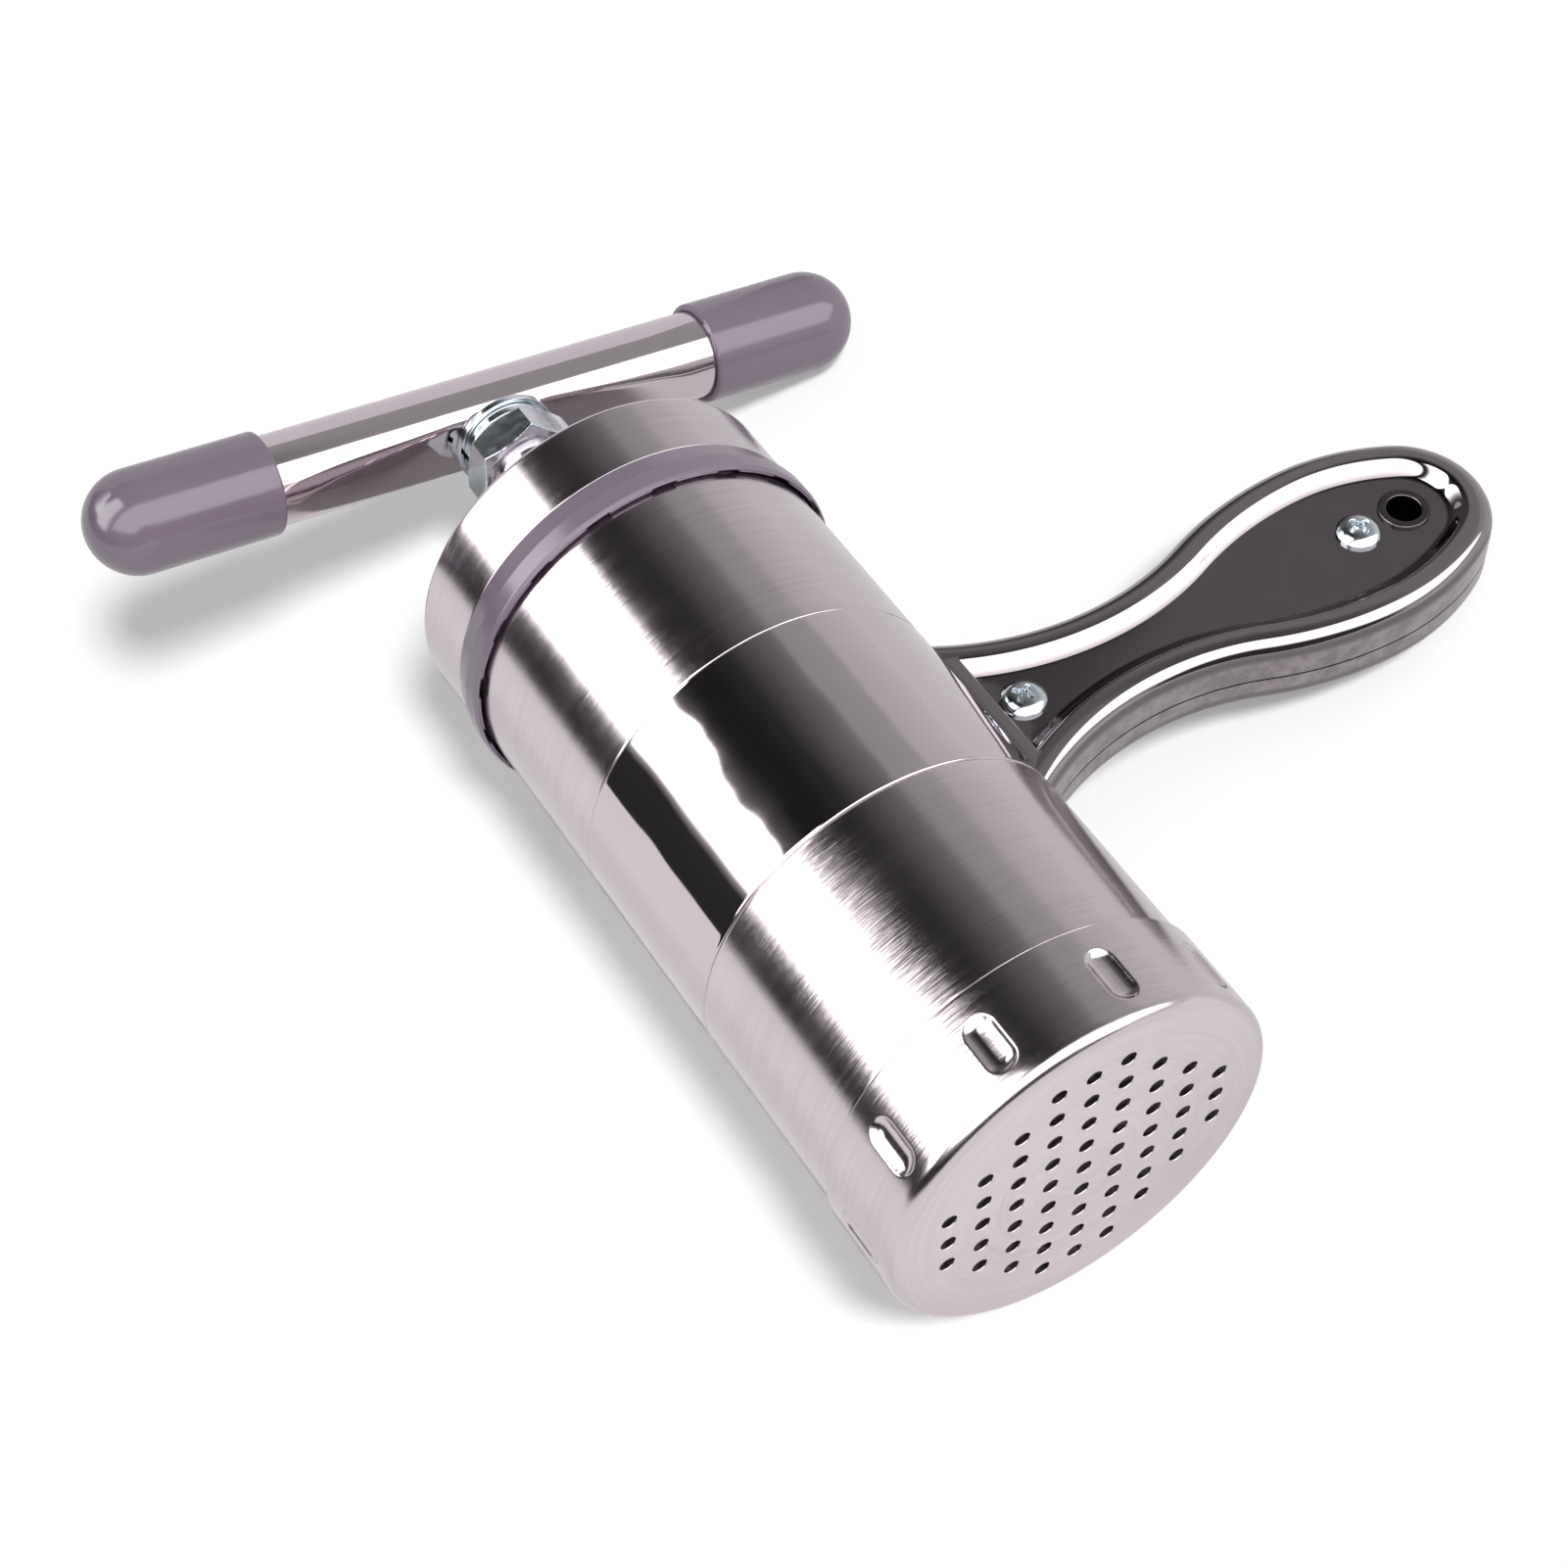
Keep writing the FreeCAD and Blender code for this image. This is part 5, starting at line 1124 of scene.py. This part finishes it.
rows = np.concatenate([
    [(0, CRANK_END), (grip_hole - HOLE_CHAMFER, CRANK_END), (grip_hole, CRANK_END - HOLE_CHAMFER)],
    [(grip_hole, GRIP_MOUTH + MOUTH_RUN), (grip_hole + MOUTH_RISE, GRIP_MOUTH)], lip_rows,
    [(GRIP_RADIUS, GRIP_MOUTH + GRIP_EDGE + 0.3), (GRIP_RADIUS, grip_centre - 0.5)], dome_rows,
])
angle = np.linspace(0, 2 * math.pi, 160, endpoint=False)
for grip, side in (("left_grip", -1), ("right_grip", 1)):
    grip_points = placed(
        side * rows[:, 1:], CRANK_AXIS + rows[:, :1] * np.cos(angle), rows[:, :1] * np.sin(angle), CRANK_TURN
    )
    piece(
        f"{grip}_surface", [patch(grip_points, columns_closed=True)],
        "crank", grip_plastic, [grip],
    )

# Camera: where the photograph was taken from, found from the round edges, the grid of holes and the
# handle's outline. Its place and axes are given in the handle's frame, in millimetres.
CAMERA_PLACE = (-148.555, -171.625, 366.270)
CAMERA_RIGHT = (0.84951, -0.52744, -0.01227)
CAMERA_UP = (0.42003, 0.66207, 0.62068)
CAMERA_LENS = 73.134
SENSOR_WIDTH = 36.0
camera_data = bpy.data.cameras.new("camera")
camera_data.lens = CAMERA_LENS
camera_data.sensor_width = SENSOR_WIDTH
camera_data.clip_start = 0.01
camera = bpy.data.objects.new("camera", camera_data)
right, up = (placed(*axis) / MM for axis in (CAMERA_RIGHT, CAMERA_UP))
back = np.cross(right, up)
turned_axes = Matrix(np.stack([right, up, back], 1).tolist()).to_4x4()
camera.matrix_world = Matrix.Translation(Vector(placed(*CAMERA_PLACE))) @ turned_axes
bpy.context.scene.collection.objects.link(camera)
bpy.context.scene.camera = camera
bpy.context.scene.view_settings.view_transform = "Standard"

# Studio: a white table and background, an even light with one soft lamp beside the camera for the
# shadow, and a room seen only in the metal. It is dark above, with a long soft box to the left, a
# second one in front, a lighter right side, and a pale card beyond the T crank.
FLOOR_RADIUS = 3.0
FLOOR_COLOUR = (0.78, 0.78, 0.78, 1.0)
FLOOR_LIFT = 0.26
floor_level = cad_box[0].z
angle = np.linspace(0, 2 * math.pi, 96, endpoint=False)
floor_rows = np.linspace(0, FLOOR_RADIUS, 8)[:, None]
floor_x, floor_y = floor_rows * np.cos(angle), floor_rows * np.sin(angle)
floor_grid = np.stack(np.broadcast_arrays(floor_x, floor_y, floor_level), -1)


def staged(name, points, faces, material):
    """A piece of the studio."""
    mesh = bpy.data.meshes.new(name)
    mesh.from_pydata(points, [], np.asarray(faces).tolist())
    mesh.materials.append(material)
    made = bpy.data.objects.new(name, mesh)
    bpy.context.scene.collection.objects.link(made)
    return made


def ray(recipe, *kinds):
    """1 for the rays of these kinds, 0 for the others."""
    light_path = recipe.tree.nodes.new("ShaderNodeLightPath")
    total = Value(recipe, light_path.outputs[kinds[0]])
    for kind in kinds[1:]:
        total = total + Value(recipe, light_path.outputs[kind])
    return total


SHOWN = ("Is Camera Ray", "Is Glossy Ray", "Is Transmission Ray")
table_white = bpy.data.materials.new("table_white")
recipe = Recipe(table_white)
x, y, z = recipe.place()
# Painted shade in the reflections: for glossy rays the table's glow falls to a tenth where x is past about
# -0.045 m and y past 0, so the metal shows a darker floor there.
near = x.step(-0.13, -0.045) * y.step(-0.03, 0.0)
glossy_lift = FLOOR_LIFT * (1 - 0.9 * near) * ray(recipe, "Is Glossy Ray")
lift = FLOOR_LIFT * ray(recipe, "Is Camera Ray", "Is Transmission Ray") + glossy_lift
lit = recipe.node("ShaderNodeBsdfDiffuse", {}, {"Color": FLOOR_COLOUR})
glow = recipe.node("ShaderNodeEmission", {}, {"Strength": lift})
surface = recipe.node("ShaderNodeAddShader", {}, {0: lit, 1: glow})
recipe.node("ShaderNodeOutputMaterial", {}, {"Surface": surface})
staged("table", *patch(floor_grid, columns_closed=True), table_white)

CARD_LEVEL = 0.86
CARD_COLOUR = (1.0, 0.96, 1.0, 1.0)
CARD_PLACE = 218.0
CARD_LEFT, CARD_RIGHT, CARD_LOW, CARD_HIGH = -80.0, 82.0, -60.0, 62.0
card_white = bpy.data.materials.new("card_white")
recipe = Recipe(card_white)
card_strength = ray(recipe, *SHOWN) * CARD_LEVEL
card_glow = recipe.node("ShaderNodeEmission", {}, {"Color": CARD_COLOUR, "Strength": card_strength})
recipe.node("ShaderNodeOutputMaterial", {}, {"Surface": card_glow})
card_x, card_z = np.meshgrid([CARD_LEFT, CARD_RIGHT], [CARD_LOW, CARD_HIGH])
card = staged("card", *patch(placed(card_x, CARD_PLACE, card_z)), card_white)
for visible in ("visible_camera", "visible_diffuse", "visible_shadow", "visible_transmission"):
    setattr(card, visible, False)

ROOM_LIGHT = 0.29
ROOM_STOPS = [
    (12, 0.76), (29, 0.66), (37, 0.62), (40, 0.47), (59, 0.41), (62, 0.26), (66, 0.2), (79, 0.11), (91, 0.035),
    (104, 0.02), (118, 0.02), (128, 0.07), (134, 0.12), (160, 0.3), (166, 0.3), (168.5, 0.035), (192, 0.03),
]
LONG_BOX = 7.0
NEAR_BOX = 3.8
BOX_RIGHT, BOX_LEFT, BOX_SPREAD, BOX_FAR_SPREAD = 137.0, 163.0, 29.0, 20.0
FAR_WALL_COLOUR = (0.12, 0.115, 0.12, 1.0)
NEAR_WALL_COLOUR = (0.08, 0.075, 0.08, 1.0)
world = bpy.data.worlds.new("room")
bpy.context.scene.world = world
recipe = Recipe(world)
direction = recipe.node("ShaderNodeTexCoord", {}, {}, "Generated")
outward = recipe.along(direction, HANDLE_OUT)
upward = recipe.along(direction, PANEL_UP)
end_on = recipe.along(direction, BARREL_UP)
bearing = upward.maths("ARCTAN2", upward, outward) * (0.5 / math.pi) + 0.25
around = bearing.maths("FRACT", bearing)
stops = [((degrees / 360 + 0.25) % 1.0, (level,) * 3) for degrees, level in ROOM_STOPS]
room = recipe.node("ShaderNodeValToRGB", {"stops": stops}, {0: around})
degrees = (around - 0.25) * 360
wider = (1 - end_on.step(0.34, 0.5)) * BOX_SPREAD
far_wider = end_on.step(0.5, 0.64) * BOX_FAR_SPREAD
right_of = (degrees + wider + far_wider).step(BOX_RIGHT - 2, BOX_RIGHT + 2)
left_of = 1 - (degrees - wider * 0.3).step(BOX_LEFT - 3, BOX_LEFT + 3)
far_wall = end_on.step(0.6, 0.9)
long_box = right_of * left_of * (1 - far_wall) * end_on.step(-0.15, 0.05)
near_wall = 1 - end_on.step(-0.9, -0.83)
near_box = (1 - end_on.step(-0.24, -0.17)) * (1 - near_wall) * upward.step(0.3, 0.4)
white = (1.0, 1.0, 1.0, 1.0)
room = recipe.blend(far_wall, room, FAR_WALL_COLOUR)
room = recipe.blend(near_wall, room, NEAR_WALL_COLOUR)
room = recipe.blend(long_box, room, white)
room = recipe.blend(near_box, room, white)
strength = long_box * (LONG_BOX - 1) + near_box * (NEAR_BOX - 1) + 1
mirrored = recipe.node("ShaderNodeBackground", {}, {"Color": room, "Strength": strength})
plain = recipe.node("ShaderNodeBackground", {}, {"Color": white, "Strength": ROOM_LIGHT})
white_back = recipe.node("ShaderNodeBackground", {}, {"Color": white, "Strength": 1.0})
lighting = recipe.node("ShaderNodeMixShader", {}, {0: ray(recipe, *SHOWN), 1: plain, 2: mirrored})
seen = ray(recipe, "Is Camera Ray")
everything = recipe.node("ShaderNodeMixShader", {}, {0: seen, 1: lighting, 2: white_back})
recipe.node("ShaderNodeOutputWorld", {}, {"Surface": everything})

LAMP_RIGHT, LAMP_UP = 0.17, 0.2
LAMP_STRENGTH = 2.5
LAMP_ANGLE = math.radians(11)
lamp_data = bpy.data.lights.new("soft_lamp", "SUN")
lamp_data.energy = LAMP_STRENGTH
lamp_data.angle = LAMP_ANGLE
lamp = bpy.data.objects.new("soft_lamp", lamp_data)
lamp.rotation_euler = Vector(back + LAMP_RIGHT * right + LAMP_UP * up).to_track_quat("Z", "Y").to_euler()
lamp.visible_glossy = False
bpy.context.scene.collection.objects.link(lamp)
